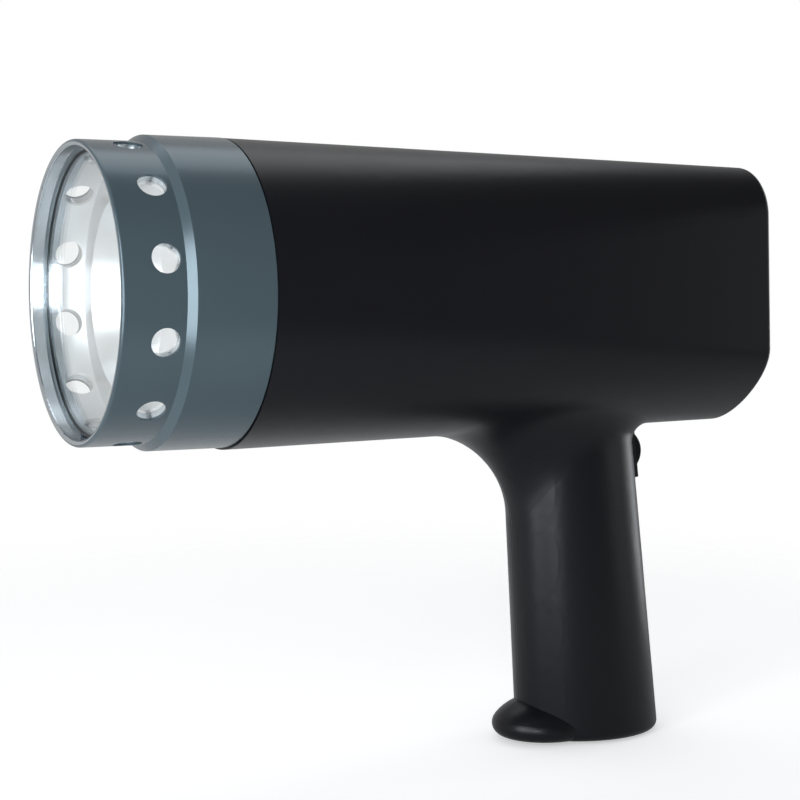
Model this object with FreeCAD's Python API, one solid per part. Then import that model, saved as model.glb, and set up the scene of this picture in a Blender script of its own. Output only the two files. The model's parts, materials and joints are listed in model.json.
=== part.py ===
"""Hand-held xenon stroboscope: a pistol-grip clamshell housing with a metal nose ring.

Millimetres.  The origin is the mouth of the tripod bush in the base of the grip, +Z is up,
the beam leaves along -X, and the rear panel faces +X.  Each piece is written to parts/NODE.step.
"""
import FreeCAD, Part

import math
import os

Vec = FreeCAD.Vector
Y_AXIS = Vec(0, 1, 0)
Z_AXIS = Vec(0, 0, 1)
X_AXIS = Vec(1, 0, 0)
FAR = 300.0              # reach of a cutting tool that has to pass right through
PAST = 1.0               # how far a cutting tool starts outside the piece it cuts
NEAR = 0.01              # closer than this counts as touching
ROUND = 0.5523           # handle length that makes a cubic curve a quarter circle

# ---- placing ------------------------------------------------------------------------------------
AXIS_Z = 154.9           # barrel axis above the tripod bush
RIM_X = -187.8           # front rim of the nose ring, ahead of the bush
SEAT_GAP = 0.1           # between a piece and the seat that it drops into

# ---- nose ring: a guard and a collar turned in one, depths run back from the rim ----------------
GUARD_R = 46.0
GUARD_LENGTH = 19.3
GUARD_WALL = 2.05
RIM_ROUND = 0.9
CHAMFER_LENGTH = 2.3
COLLAR_STEP = 2.0        # collar beyond the guard
COLLAR_WALL = 1.9        # over the housing's spigot
COLLAR_LENGTH = 24.9
COLLAR_EDGE = 0.5        # chamfer on the collar's rear edge
BORE_LENGTH = 19.5       # collar bore that slides over the housing's spigot
VENT_COUNT = 12
VENT_R = 4.35
VENT_DEPTH = 13.45       # vent centres, behind the rim

# ---- lens and its seat --------------------------------------------------------------------------
CLIP_DEPTH = 4.4         # front of the spring clip
CLIP_WIRE = 0.8
CLIP_BITE = 0.9          # how deep the clip sits in its groove
CLIP_REACH = 0.7         # how far the clip stands out of the groove
CLIP_GAP_DEG = 14.0
LENS_THICKNESS = 2.0
SEAL_THICKNESS = 0.8
BAND_STEP = 1.55         # band that the lens is pressed against, inside the guard's bore
BAND_LENGTH = 2.2

# ---- reflector: skirt, floor and parabolic bowl pressed from one sheet --------------------------
SKIRT_SHEET = 1.1
SKIRT_DROP = 0.75        # skirt inside the guard's bore
FLOOR_DEPTH = 18.9
FLOOR_WIDTH = 11.1       # from the skirt in to the mouth of the bowl
MOUTH_DEPTH = 17.6
APEX_DEPTH = 52.0
NECK_R = 8.0
BOWL_SHEET = 0.9
SPACER_WALL = 3.2
SPACER_STEP = 1.0        # the spacer is thinner at its front

# ---- flash tube and what carries it -------------------------------------------------------------
TUBE_R = 2.2
TUBE_LEG = 4.5           # half the distance between the two legs
TUBE_TOP_DEPTH = 29.0
TUBE_SINK = 5.0          # length of leg that is held in the lamp base
LAMP_BASE_R = 13.0
LAMP_BASE_LENGTH = 9.0
LAMP_BOARD_GAP = 2.6     # inside the spigot's bore
BOARD_THICKNESS = 1.6
COIL_R = 6.0
COIL_CORE_R = 4.8
COIL_CHEEK = 2.0
COIL_LENGTH = 16.0
COIL_OFFSET = 22.0

# ---- barrel of the housing: a circle at the collar runs out to a rounded U at the rear ----------
WALL = 2.5
BARREL_STEP = 0.1        # barrel inside the collar
BARREL_BELLY = 0.7       # the front section hangs lower than a circle
REAR_X = 47.0             # middle of the rear end, at the height of the barrel axis
REAR_LEAN = 3.5          # degrees, the rear end faces a little upwards
REAR_HALF_WIDTH = 37.0
REAR_TOP = 43.8          # above the barrel axis
REAR_BOTTOM = 45.6       # below the barrel axis
REAR_TOP_CORNER = (16.0, 16.0)
REAR_BOTTOM_CORNER = (34.0, 27.5)
REAR_FULLNESS = 0.36     # of the rear end's bottom corners, leaner than round
FRONT_FLAT = 0.4         # keeps the eight sides of the front section from closing up
REAR_EDGE_ROUND = 2.0
SPIGOT_LENGTH = 18.0
SPIGOT_WALL = 3.4
SPIGOT_FLANGE = 3.0

# ---- grip: an ellipse that leans back and grows towards the base --------------------------------
GRIP_FRONT_X = -26.4     # at the base
GRIP_FRONT_LEAN = -0.079
GRIP_BACK_X = 28.6
GRIP_BACK_LEAN = -0.141
GRIP_HALF_WIDTH = 18.6
GRIP_WIDTH_TAPER = -0.012
GRIP_TOP_DEPTH = 30.0    # under the barrel axis, inside the barrel
GRIP_TOP_Z = AXIS_Z - GRIP_TOP_DEPTH
BLEND_FRONT_CLEARANCE = 11.0     # of the blend, inside the guard's radius
BLEND_REAR_CLEARANCE = 2.0       # of the blend, inside the half width of the rear end
BLEND_FRONT = min(GUARD_R - BLEND_FRONT_CLEARANCE, REAR_HALF_WIDTH - BLEND_REAR_CLEARANCE)
BLEND_BACK = 6.0         # blend from grip to barrel, at the back of the grip
BLEND_MARGIN = 4.0       # how far from the grip an edge of the joint may lie
BASE_TILT = 1.2          # degrees, the base drops towards the back
BASE_ROUND = 3.0
FINGER_PITCH = 24.0
FINGER_COUNT = 4
FINGER_TOP_Z = 83.5      # middle of the uppermost finger hollow
FINGER_HALF_SIZE = (4.0, 30.0, 18.0)   # of the cutter: outward, along the finger, upright
FINGER_SINK = 1.2        # less than half the wall
FINGER_ANGLE = 32.0      # degrees round the section, away from the front
FINGER_SLOPE = 20.0      # degrees, the front end of a hollow is the lower one
TOE_CENTRE = (-15.4, 0.0, -2.3)
TOE_HALF_SIZE = (22.5, 18.0, 16.5)
TOE_PITCH = 12.0         # degrees, its back end drops
TOE_ROUND = 4.0

# ---- screws that close the clamshell ------------------------------------------------------------
BOSS_R = 3.9
PILOT_R = 1.25
CLEAR_R = 1.6
HEAD_R = 2.8
HEAD_HEIGHT = 2.2
RECESS_ARM = 1.7         # cross recess in a screw head
RECESS_SLOT = 0.45
RECESS_DEPTH = 1.1
COUNTERBORE_R = 3.1
WEB = 6.0                # plastic under a screw head
SCREW_BITE = 9.0         # length of screw in the left half
BARREL_SCREW_INSET = 11.2    # from the top or bottom of the barrel
BARREL_SCREWS = ((-104.0, 1), (14.0, 1), (-66.0, -1))      # place along X; 1 high, -1 low
GRIP_SCREWS = ((89.0, 8.8), (10.0, 9.7))                   # height; distance from the grip's front

# ---- base ---------------------------------------------------------------------------------------
BASE_RIM = 4.0           # from the outside of the grip to the base plate
BASE_PLATE_THICKNESS = 2.4
BASE_LEDGE_HEIGHT = 3.0
BASE_OPENING_INSET = 9.0
BASE_SCREW_Y = 11.9
BASE_SCREW_R = 1.2
BASE_HEAD_R = 2.3
BUSH_R = 6.0
BUSH_FLANGE_R = 8.0
BUSH_FLANGE = 2.0
BUSH_LENGTH = 11.5
BUSH_THREAD_R = 2.55     # minor radius of a quarter-inch tripod thread
BUSH_THREAD_DEPTH = 9.5
CHARGE_X = 14.6
CHARGE_R = 4.2
CHARGE_LENGTH = 11.0
CHARGE_BORE_R = 2.75
CHARGE_BORE_DEPTH = 9.0
CHARGE_PIN_R = 1.05
CHARGE_PIN_SINK = 1.0    # pin below the mouth of the socket

# ---- battery pack: two by two round cells in one sleeve -----------------------------------------
CELL_R = 11.1
PACK_LENGTH = 66.0
PACK_BASE_Z = 16.5
PACK_RIB_HEIGHTS = (12.0, 50.0)
RIB = 2.0

# ---- power rocker: a half-moon paddle in the back of the grip -----------------------------------
ROCKER_Z = 99.5
ROCKER_R = 7.8
ROCKER_WIDTH = 8.0
ROCKER_SINK = 3.9        # pivot below the back of the grip
ROCKER_BACK = 2.6        # paddle behind its pivot
ROCKER_THROW = 24.0      # degrees from off to on
ROCKER_GROOVES = 5
ROCKER_GROOVE_STEP = 12.0
ROCKER_GROOVE_R = 0.45
ROCKER_GROOVE_MARGIN = 1.2
ROCKER_EDGE = 0.6
ROCKER_CLEARANCE = 0.3
PIVOT_R = 1.0
PIVOT_CLEARANCE = 0.06
PIVOT_LENGTH = 1.1
FRAME_WALL = 1.3
FRAME_LIP = 1.3
FRAME_DEPTH = 14.0
FRAME_PROUD = 0.3

# ---- rear panel ---------------------------------------------------------------------------------
PANEL_RECESS = 1.2
PANEL_THICKNESS = 2.5
PANEL_GAP = 0.15
LEDGE_WIDTH = 3.0
LEDGE_THICKNESS = 2.0
PANEL_SCREW_INSET = 4.4
PANEL_BOSS_LENGTH = 9.0
PANEL_BOSS_R = 4.5
PANEL_HEAD_EDGE = 0.55
PANEL_SCREW_LENGTH = 8.0
WINDOW_WIDTH = 50.0
WINDOW_HEIGHT = 20.0
WINDOW_Z = 18.5          # above the barrel axis
WINDOW_THICKNESS = 1.5
WINDOW_LIP = 2.0
WINDOW_ROUND = 2.5
PANEL_TO_BOARD = 8.4
MODULE_WIDTH = 52.0
MODULE_HEIGHT = 22.0
BOARD_HALF_WIDTH = 26.0
BOARD_TOP = 33.0
BOARD_BOTTOM = -34.0
BOARD_CLEARANCE = 0.6    # round a boss that passes the display board
POST_R = 2.4
POST_Y = 15.0
POST_TOP_Z = 4.3
POST_BOTTOM_Z = -13.0
POST_PILOT_R = 0.8
POST_SCREW_BITE = 4.0
POST_CLEAR_R = 1.1
POST_HEAD_R = 2.0
POST_HEAD_HEIGHT = 1.4

# ---- keys ---------------------------------------------------------------------------------------
KEY_NAMES = ("key_halve", "key_double", "key_minus", "key_plus")
KEY_R = 4.3
KEY_PITCH = 15.0
KEY_Z = -2.2
KEY_CLEARANCE = 0.3
KEY_PROUD = 1.6
KEY_TRAVEL = 0.8
KEY_FLANGE_R = 5.6
KEY_FLANGE = 1.0
KEY_STEM_R = 2.0
KEY_EDGE = 0.6
SWITCH_SIDE = 6.0
SWITCH_HEIGHT = 3.4
SWITCH_BUTTON = 0.6
STEM_GAP = 0.35          # left between stem and switch when a key is fully pressed

# ---- rate knob and its encoder ------------------------------------------------------------------
KNOB_Z = -25.0
KNOB_R = 13.5
KNOB_LENGTH = 13.0
KNOB_GAP = 0.8
KNOB_SKIRT_R = 14.5
KNOB_SKIRT = 2.5
KNOB_CAP = 2.0           # solid end beyond the shaft
KNOB_EDGE = 1.0
KNOB_FLUTES = 18
FLUTE_R = 1.2
DIMPLE_R = 4.0
DIMPLE_RISE = 2.4        # centre of the dimple's ball, above the knob's end
DIMPLE_Y = 7.0
SHAFT_R = 2.5
SHAFT_CLEARANCE = 0.05
BUSHING_R = 3.6
BUSHING_PROUD = 0.4      # beyond its nut
ENCODER_SIDE = 12.4
ENCODER_FLOOR = 1.0
SHAFT_END_GAP = 0.5
NUT_R = 5.6
NUT_HEIGHT = 2.2
NUT_CLEARANCE = 0.9

# ---- trigger jacks ------------------------------------------------------------------------------
JACK_NAMES = ("trigger_input_jack", "trigger_output_jack")
JACK_Y = 23.5
JACK_Z = -18.5
JACK_NECK_R = 3.0
JACK_BODY_R = 4.4
JACK_BODY_LENGTH = 6.0
JACK_PROUD = 3.0
JACK_BORE_R = 1.8
JACK_BORE_LENGTH = 11.0
JACK_NUT_R = 4.4
JACK_NUT_EDGE = 0.5
JACK_HOLE_GAP = 0.2      # round a jack that passes the display board

# ---- power board --------------------------------------------------------------------------------
POWER_BOARD_Z = -29.0
POWER_BOARD_START = -106.0
POWER_BOARD_END = 24.0
POWER_BOARD_HALF_WIDTH = 25.0
POWER_RIBS = (-94.0, -40.0, 10.0)
CAPACITOR_R = 14.0
CAPACITOR_LENGTH = 46.0
CAPACITOR_X = -72.0
CAPACITOR_GAP = 1.0
CAPACITOR_EDGE = 1.0
CORE_SIZE = (26.0, 30.0, 9.0)
COIL_FORMER = (20.0, 22.0, 20.0)
CORE_X = -22.0

# ---- worked out from the values above -----------------------------------------------------------
CHAMFER_DEPTH = GUARD_LENGTH + CHAMFER_LENGTH
COLLAR_R = GUARD_R + COLLAR_STEP
COLLAR_BORE_R = COLLAR_R - COLLAR_WALL
BARREL_FRONT_R = COLLAR_R - BARREL_STEP
BARREL_FRONT_BOTTOM = BARREL_FRONT_R + BARREL_BELLY
COLLAR_DEPTH = CHAMFER_DEPTH + COLLAR_LENGTH
BARREL_X = RIM_X + COLLAR_DEPTH
GUARD_BORE_R = GUARD_R - GUARD_WALL
CLIP_END = CLIP_DEPTH + CLIP_WIRE
LENS_END = CLIP_END + LENS_THICKNESS
SEAT_DEPTH = LENS_END + SEAL_THICKNESS
BAND_END = SEAT_DEPTH + BAND_LENGTH
BAND_R = GUARD_BORE_R - BAND_STEP
SKIRT_R = GUARD_BORE_R - SKIRT_DROP
SKIRT_BORE_R = SKIRT_R - SKIRT_SHEET
MOUTH_R = SKIRT_BORE_R - FLOOR_WIDTH
BORE_START = COLLAR_DEPTH - BORE_LENGTH
SPIGOT_DEPTH = COLLAR_DEPTH - SPIGOT_LENGTH
SPIGOT_R = COLLAR_BORE_R - SEAT_GAP
SPIGOT_BORE_R = SPIGOT_R - SPIGOT_WALL
NECK_DEPTH = APEX_DEPTH - (APEX_DEPTH - MOUTH_DEPTH) * (NECK_R / MOUTH_R) ** 2
LAMP_BASE_DEPTH = NECK_DEPTH + BOWL_SHEET
LAMP_BOARD_DEPTH = LAMP_BASE_DEPTH + LAMP_BASE_LENGTH
LAMP_BOARD_R = SPIGOT_BORE_R - LAMP_BOARD_GAP
PANEL_X = REAR_X - PANEL_RECESS
PANEL_BACK_X = PANEL_X - PANEL_THICKNESS
LEDGE_X = PANEL_BACK_X - LEDGE_THICKNESS
BASE_LEDGE_TOP = BASE_PLATE_THICKNESS + BASE_LEDGE_HEIGHT
DISPLAY_BOARD_X = PANEL_BACK_X - PANEL_TO_BOARD
KEY_FLANGE_X = PANEL_BACK_X - SEAT_GAP
STEM_X = DISPLAY_BOARD_X + SWITCH_HEIGHT + KEY_TRAVEL + STEM_GAP
BACK_ANGLE = math.degrees(math.atan(-GRIP_BACK_LEAN))


# ---- small helpers ------------------------------------------------------------------------------
def box(x_range, y_range, z_range):
    """A box given by its low and high limit along each axis."""
    low = Vec(x_range[0], y_range[0], z_range[0])
    return Part.makeBox(x_range[1] - x_range[0], y_range[1] - y_range[0],
                        z_range[1] - z_range[0], low)


def rod(start, radius, length, direction):
    return Part.makeCylinder(radius, length, start, direction)


def rod_x(x_start, x_end, radius, y=0.0, z=0.0):
    """A cylinder along X; z counts from the barrel axis."""
    return rod(Vec(x_start, y, AXIS_Z + z), radius, x_end - x_start, X_AXIS)


def fused(shapes):
    first, *others = shapes
    return first.fuse(others).removeSplitter() if others else first


def solid_of(shape):
    """The single solid inside a boolean result."""
    return max(shape.Solids, key=lambda piece: piece.Volume)


def edges_across(shape, direction):
    """Round edges that lie square to a direction."""
    return [edge for edge in shape.Edges
            if edge.Closed and abs(edge.Curve.Axis.dot(direction)) > 1 - NEAR]


def edges_behind(shape, x):
    return [edge for edge in shape.Edges if edge.BoundBox.XMin > x + NEAR]


def polygon(points):
    return Part.makePolygon(points + points[:1])


def prism(points, direction):
    return Part.Face(polygon(points)).extrude(direction)


def nose_point(depth, radius):
    return Vec(RIM_X + depth, 0, AXIS_Z + radius)


def line(start, end):
    return Part.LineSegment(nose_point(*start), nose_point(*end)).toShape()


def arc(start, middle, end):
    return Part.Arc(nose_point(*start), nose_point(*middle), nose_point(*end)).toShape()


def parabola(start, pole, end):
    """A quadratic Bezier edge, which is a stretch of parabola."""
    curve = Part.BezierCurve()
    curve.setPoles([nose_point(*start), nose_point(*pole), nose_point(*end)])
    return curve.toShape()


def turned(edges):
    """Revolve a closed (depth, radius) profile about the barrel axis."""
    face = Part.Face(Part.Wire(Part.__sortEdges__(edges)))
    return face.revolve(Vec(0, 0, AXIS_Z), X_AXIS, 360)


def turned_polygon(points):
    corners = [nose_point(*point) for point in points]
    return Part.Face(polygon(corners)).revolve(Vec(0, 0, AXIS_Z), X_AXIS, 360)


# ---- outer forms of the housing -----------------------------------------------------------------
def barrel_section(x, half_width, top, bottom, top_corner, bottom_corner, fullness=ROUND):
    """Rounded outline across the barrel: flat top and sides, U-shaped underside.

    Each corner is a pair (width, height).  The bottom ones bulge by fullness towards their
    sharp corner, where ROUND makes a quarter circle and less makes them leaner.
    """
    def at(y, z):
        return Vec(x, y, AXIS_Z + z)

    def straight(start, end):
        return Part.LineSegment(at(*start), at(*end)).toShape()

    def corner(start, sharp, end, bulge):
        poles = [at(*start)]
        poles += [at(*[one + (other - one) * bulge for one, other in zip(place, sharp)])
                  for place in (start, end)]
        curve = Part.BezierCurve()
        curve.setPoles(poles + [at(*end)])
        return curve.toShape()

    low = bottom_corner[1] - bottom
    high = top - top_corner[1]
    inner_low = half_width - bottom_corner[0]
    inner_high = half_width - top_corner[0]
    return Part.Wire([
        straight((-inner_low, -bottom), (inner_low, -bottom)),
        corner((inner_low, -bottom), (half_width, -bottom), (half_width, low), fullness),
        straight((half_width, low), (half_width, high)),
        corner((half_width, high), (half_width, top), (inner_high, top), ROUND),
        straight((inner_high, top), (-inner_high, top)),
        corner((-inner_high, top), (-half_width, top), (-half_width, high), ROUND),
        straight((-half_width, high), (-half_width, low)),
        corner((-half_width, low), (-half_width, -bottom), (-inner_low, -bottom), fullness),
    ])


def shrunk(corner, inset):
    return [size - inset for size in corner]


def barrel(inset=0.0):
    """The barrel as a solid, its surface moved inwards by inset."""
    radius = BARREL_FRONT_R - inset
    depth = BARREL_FRONT_BOTTOM - inset
    front = barrel_section(BARREL_X, radius, radius, depth,
                           shrunk((radius, radius), FRONT_FLAT), shrunk((radius, depth), FRONT_FLAT))
    rear = barrel_section(REAR_X, REAR_HALF_WIDTH - inset, REAR_TOP - inset, REAR_BOTTOM - inset,
                          shrunk(REAR_TOP_CORNER, inset), shrunk(REAR_BOTTOM_CORNER, inset),
                          REAR_FULLNESS)
    return Part.makeLoft([front, on_rear(rear)], True, True)


def on_rear(shape):
    """Lean a piece that is drawn behind an upright rear end back to the real one."""
    return shape.rotated(Vec(REAR_X, 0, AXIS_Z), Y_AXIS, -REAR_LEAN)


def all_on_rear(shapes):
    return [on_rear(shape) for shape in shapes]


def rear_slice(inset, x_start, x_end):
    """A stretch of the barrel between two planes that lean like the rear end."""
    return barrel(inset).common(on_rear(box((x_start, x_end), (-FAR, FAR), (-FAR, FAR))))


def barrel_slice(inset, x_start, x_end):
    return barrel(inset).common(box((x_start, x_end), (-FAR, FAR), (-FAR, FAR)))


def grip_front(z):
    return GRIP_FRONT_X + GRIP_FRONT_LEAN * z


def grip_back(z):
    return GRIP_BACK_X + GRIP_BACK_LEAN * z


def grip_half_width(z):
    return GRIP_HALF_WIDTH + GRIP_WIDTH_TAPER * z


def grip_centre(z):
    return (grip_front(z) + grip_back(z)) / 2


def grip_section(z, inset=0.0):
    depth = (grip_back(z) - grip_front(z)) / 2 - inset
    ellipse = Part.Ellipse(Vec(grip_centre(z), 0, z), depth, grip_half_width(z) - inset)
    return Part.Wire([ellipse.toShape()])


def grip(inset=0.0):
    below = -GRIP_HALF_WIDTH
    return Part.makeLoft([grip_section(below, inset), grip_section(GRIP_TOP_Z, inset)], True, True)


def on_base(shape):
    """Turn a piece that is drawn on the level plane z = 0 onto the tilted base."""
    return shape.rotated(Vec(0, 0, 0), Y_AXIS, BASE_TILT)


def above_base(height=0.0):
    """Everything higher than height above the tilted base."""
    return on_base(box((-FAR, FAR), (-FAR, FAR), (height, FAR)))


def base_prism(inset, low, high):
    """An upright elliptic slug with the outline of the grip's foot."""
    depth = (GRIP_BACK_X - GRIP_FRONT_X) / 2 - inset
    centre = Vec((GRIP_BACK_X + GRIP_FRONT_X) / 2, 0, low)
    outline = Part.Wire([Part.Ellipse(centre, depth, GRIP_HALF_WIDTH - inset).toShape()])
    return on_base(Part.Face(outline).extrude(Vec(0, 0, high - low)))


def lowest_edges(shape):
    """Edges that lie in the tilted base plane."""
    level = shape.rotated(Vec(0, 0, 0), Y_AXIS, -BASE_TILT)
    return [edge for edge, flat in zip(shape.Edges, level.Edges)
            if abs(flat.BoundBox.ZMin) < NEAR and abs(flat.BoundBox.ZMax) < NEAR]


def blended(shape):
    """Round the joint of grip and barrel, with a radius that shrinks from front to back."""
    front = grip_front(AXIS_Z - REAR_BOTTOM)
    back = grip_back(AXIS_Z - REAR_BOTTOM)

    def radius(point):
        share = (point.x - front) / (back - front)
        return BLEND_FRONT + (BLEND_BACK - BLEND_FRONT) * min(max(share, 0.0), 1.0)

    def joins(edge):
        reach = edge.BoundBox
        low = AXIS_Z - BARREL_FRONT_BOTTOM - PAST
        inside = front - BLEND_MARGIN < reach.XMin and reach.XMax < back + BLEND_MARGIN
        return inside and low < reach.ZMin and reach.YLength < 2 * GRIP_HALF_WIDTH

    document = FreeCAD.newDocument("blend")
    plain = document.addObject("Part::Feature", "plain")
    plain.Shape = shape
    rounded = document.addObject("Part::Fillet", "rounded")
    rounded.Base = plain
    rounded.Edges = [(number, radius(edge.valueAt(edge.FirstParameter)),
                      radius(edge.valueAt(edge.LastParameter)))
                     for number, edge in enumerate(shape.Edges, 1) if joins(edge)]
    document.recompute()
    result = rounded.Shape.copy()
    FreeCAD.closeDocument(document.Name)
    return result


def toe():
    """The domed toe at the front of the grip's foot."""
    stretch = FreeCAD.Matrix()
    stretch.scale(*TOE_HALF_SIZE)
    dome = Part.makeSphere(1.0).transformGeometry(stretch)
    dome = dome.rotated(Vec(0, 0, 0), Y_AXIS, TOE_PITCH)
    dome.translate(Vec(*TOE_CENTRE))
    dome = dome.common(above_base())
    return dome.makeFillet(TOE_ROUND, lowest_edges(dome))


def finger_hollows():
    """Shallow scoops on both flanks of the grip's front, one for each finger."""
    stretch = FreeCAD.Matrix()
    stretch.scale(*FINGER_HALF_SIZE)
    scoop = Part.makeSphere(1.0).transformGeometry(stretch)
    angle = math.radians(FINGER_ANGLE)
    tools = []
    for number in range(FINGER_COUNT):
        z = FINGER_TOP_Z - number * FINGER_PITCH
        depth = (grip_back(z) - grip_front(z)) / 2
        width = grip_half_width(z)
        for side in (-1, 1):
            skin = Vec(grip_centre(z) - depth * math.cos(angle), side * width * math.sin(angle), z)
            outward = Vec(-math.cos(angle) / depth, side * math.sin(angle) / width, 0)
            outward.normalize()
            tool = scoop.rotated(Vec(0, 0, 0), X_AXIS, -side * FINGER_SLOPE)
            facing = math.degrees(math.atan2(outward.y, outward.x))
            tool = tool.rotated(Vec(0, 0, 0), Z_AXIS, facing)
            tools.append(tool.translated(skin + outward * (FINGER_HALF_SIZE[0] - FINGER_SINK)))
    return tools


def outer_form():
    body = blended(barrel().fuse(grip()))
    body = body.common(above_base())
    body = body.makeFillet(BASE_ROUND, lowest_edges(body))
    body = body.cut(finger_hollows())
    rear_plane = on_rear(Part.makePlane(FAR, FAR, Vec(REAR_X, FAR / 2, AXIS_Z + FAR / 2), -X_AXIS))
    rear_edges = [edge for edge in body.Edges
                  if all(rear_plane.distToShape(Part.Vertex(edge.valueAt(mark)))[0] < NEAR
                         for mark in edge.ParameterRange)]
    body = body.makeFillet(REAR_EDGE_ROUND, rear_edges)
    return body.fuse(toe())


# ---- housing ------------------------------------------------------------------------------------
def screw_points():
    points = []
    for x, up in BARREL_SCREWS:
        front, rear = (BARREL_FRONT_R, REAR_TOP) if up > 0 else (BARREL_FRONT_BOTTOM, REAR_BOTTOM)
        reach = front + (rear - front) * (x - BARREL_X) / (REAR_X - BARREL_X)
        points.append(Vec(x, 0, AXIS_Z + up * (reach - BARREL_SCREW_INSET)))
    return points + [Vec(grip_front(z) + inset, 0, z) for z, inset in GRIP_SCREWS]


def panel_screw_points():
    """Four (y, z) places inside the rounded corners of the rear panel."""
    places = []
    inward = WALL + PANEL_SCREW_INSET * math.sqrt(0.5)
    for corner, height, fullness in ((REAR_TOP_CORNER, REAR_TOP, ROUND),
                                     (REAR_BOTTOM_CORNER, -REAR_BOTTOM, REAR_FULLNESS)):
        up = math.copysign(1.0, height)
        share = (4 - 3 * fullness) / 8
        width, drop = [size * share for size in shrunk(corner, WALL)]
        for side in (-1, 1):
            places.append((side * (REAR_HALF_WIDTH - inward - width), height - up * (inward + drop)))
    return places


def cavity():
    """What the housing encloses, with its way out at both ends and through the foot."""
    hollow = barrel(WALL).fuse(grip(WALL).common(above_base(BASE_LEDGE_TOP)))
    hollow = hollow.fuse(base_prism(BASE_OPENING_INSET, -PAST, BASE_LEDGE_TOP + PAST))
    return hollow.fuse(base_prism(BASE_RIM, -PAST, BASE_PLATE_THICKNESS))


def rear_ledge():
    """A frame inside the rear end that the panel is screwed against, with its four bosses."""
    frame = rear_slice(WALL / 2, LEDGE_X, PANEL_BACK_X).cut(barrel(WALL + LEDGE_WIDTH))
    bosses = [rod_x(PANEL_BACK_X - PANEL_BOSS_LENGTH, PANEL_BACK_X, PANEL_BOSS_R, y, z)
              for y, z in panel_screw_points()]
    bosses = [boss.common(barrel(WALL / 2)) for boss in all_on_rear(bosses)]
    pilots = [rod_x(PANEL_BACK_X - PANEL_BOSS_LENGTH - PAST, PANEL_X, PILOT_R, y, z)
              for y, z in panel_screw_points()]
    return fused([frame] + bosses).cut(all_on_rear(pilots))


def lamp_board_ribs():
    """A grooved ring that holds the edge of the lamp board."""
    x = RIM_X + LAMP_BOARD_DEPTH
    ring = barrel_slice(WALL / 2, x - RIB, x + BOARD_THICKNESS + RIB)
    bore = rod_x(x - 2 * RIB, x + BOARD_THICKNESS + 2 * RIB, LAMP_BOARD_R - RIB)
    groove = rod_x(x, x + BOARD_THICKNESS, LAMP_BOARD_R)
    return ring.cut([bore, groove])


def power_board():
    return box((POWER_BOARD_START, POWER_BOARD_END),
               (-POWER_BOARD_HALF_WIDTH, POWER_BOARD_HALF_WIDTH),
               (AXIS_Z + POWER_BOARD_Z, AXIS_Z + POWER_BOARD_Z + BOARD_THICKNESS))


def power_board_ribs():
    """Cross ribs with a slot that the power board slides into."""
    ribs = []
    top = AXIS_Z + POWER_BOARD_Z + BOARD_THICKNESS + RIB
    for x in POWER_RIBS:
        rib = barrel_slice(WALL / 2, x, x + RIB)
        rib = rib.common(box((-FAR, FAR), (-FAR, FAR), (-FAR, top)))
        over_board = box((-FAR, FAR), (-POWER_BOARD_HALF_WIDTH + RIB, POWER_BOARD_HALF_WIDTH - RIB),
                         (AXIS_Z + POWER_BOARD_Z, FAR))
        over_grip = grip(WALL / 2)
        ribs.append(rib.cut([over_board, power_board(), over_grip]))
    return ribs


def battery_pack(gap=0.0):
    """Four cells under one sleeve: a flat-sided block with half-round ends."""
    radius = CELL_R + gap
    y = radius
    start, end = Vec(-CELL_R, -y, 0), Vec(CELL_R, -y, 0)
    back, front = Vec(CELL_R, y, 0), Vec(-CELL_R, y, 0)
    outline = Part.Wire([
        Part.LineSegment(start, end).toShape(),
        Part.Arc(end, Vec(CELL_R + radius, 0, 0), back).toShape(),
        Part.LineSegment(back, front).toShape(),
        Part.Arc(front, Vec(-CELL_R - radius, 0, 0), start).toShape(),
    ])
    block = Part.Face(outline).extrude(Vec(0, 0, PACK_LENGTH))
    lean = math.degrees(math.atan((GRIP_FRONT_LEAN + GRIP_BACK_LEAN) / 2))
    block = block.rotated(Vec(0, 0, 0), Y_AXIS, lean)
    block.translate(Vec(grip_centre(PACK_BASE_Z), 0, PACK_BASE_Z))
    return block


def battery_ribs():
    ribs = []
    for height in PACK_RIB_HEIGHTS:
        low = PACK_BASE_Z + height
        slab = box((-FAR, FAR), (-FAR, FAR), (low, low + RIB))
        ribs.append(grip(WALL / 2).common(slab).cut(battery_pack(SEAT_GAP / 2)))
    return ribs


def screw_bosses(envelope):
    """Posts that run right across the housing at each clamshell screw."""
    posts = []
    for point in screw_points():
        post = rod(point - Y_AXIS * FAR, BOSS_R, 2 * FAR, Y_AXIS)
        posts.append(post.common(envelope))
    return posts


def screw_holes():
    """Pilot in the left half, clearance and counterbore in the right."""
    holes = []
    for point in screw_points():
        holes.append(rod(point - Y_AXIS * (SCREW_BITE + PAST), PILOT_R, SCREW_BITE + PAST, Y_AXIS))
        holes.append(rod(point, CLEAR_R, FAR, Y_AXIS))
        holes.append(rod(point + Y_AXIS * WEB, COUNTERBORE_R, FAR, Y_AXIS))
    return holes


def spigot():
    """The thick ring on the housing's nose that fits in the collar."""
    return turned_polygon([
        (SPIGOT_DEPTH, SPIGOT_BORE_R), (SPIGOT_DEPTH, SPIGOT_R), (COLLAR_DEPTH, SPIGOT_R),
        (COLLAR_DEPTH, BARREL_FRONT_R - WALL / 2),
        (COLLAR_DEPTH + SPIGOT_FLANGE, BARREL_FRONT_R - WALL / 2),
        (COLLAR_DEPTH + SPIGOT_FLANGE, SPIGOT_BORE_R)])


def base_screw_holes():
    length = BASE_LEDGE_TOP + 2 * PAST
    return [on_base(rod(Vec(0, side * BASE_SCREW_Y, -PAST), BASE_SCREW_R, length, Z_AXIS))
            for side in (-1, 1)]


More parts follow.
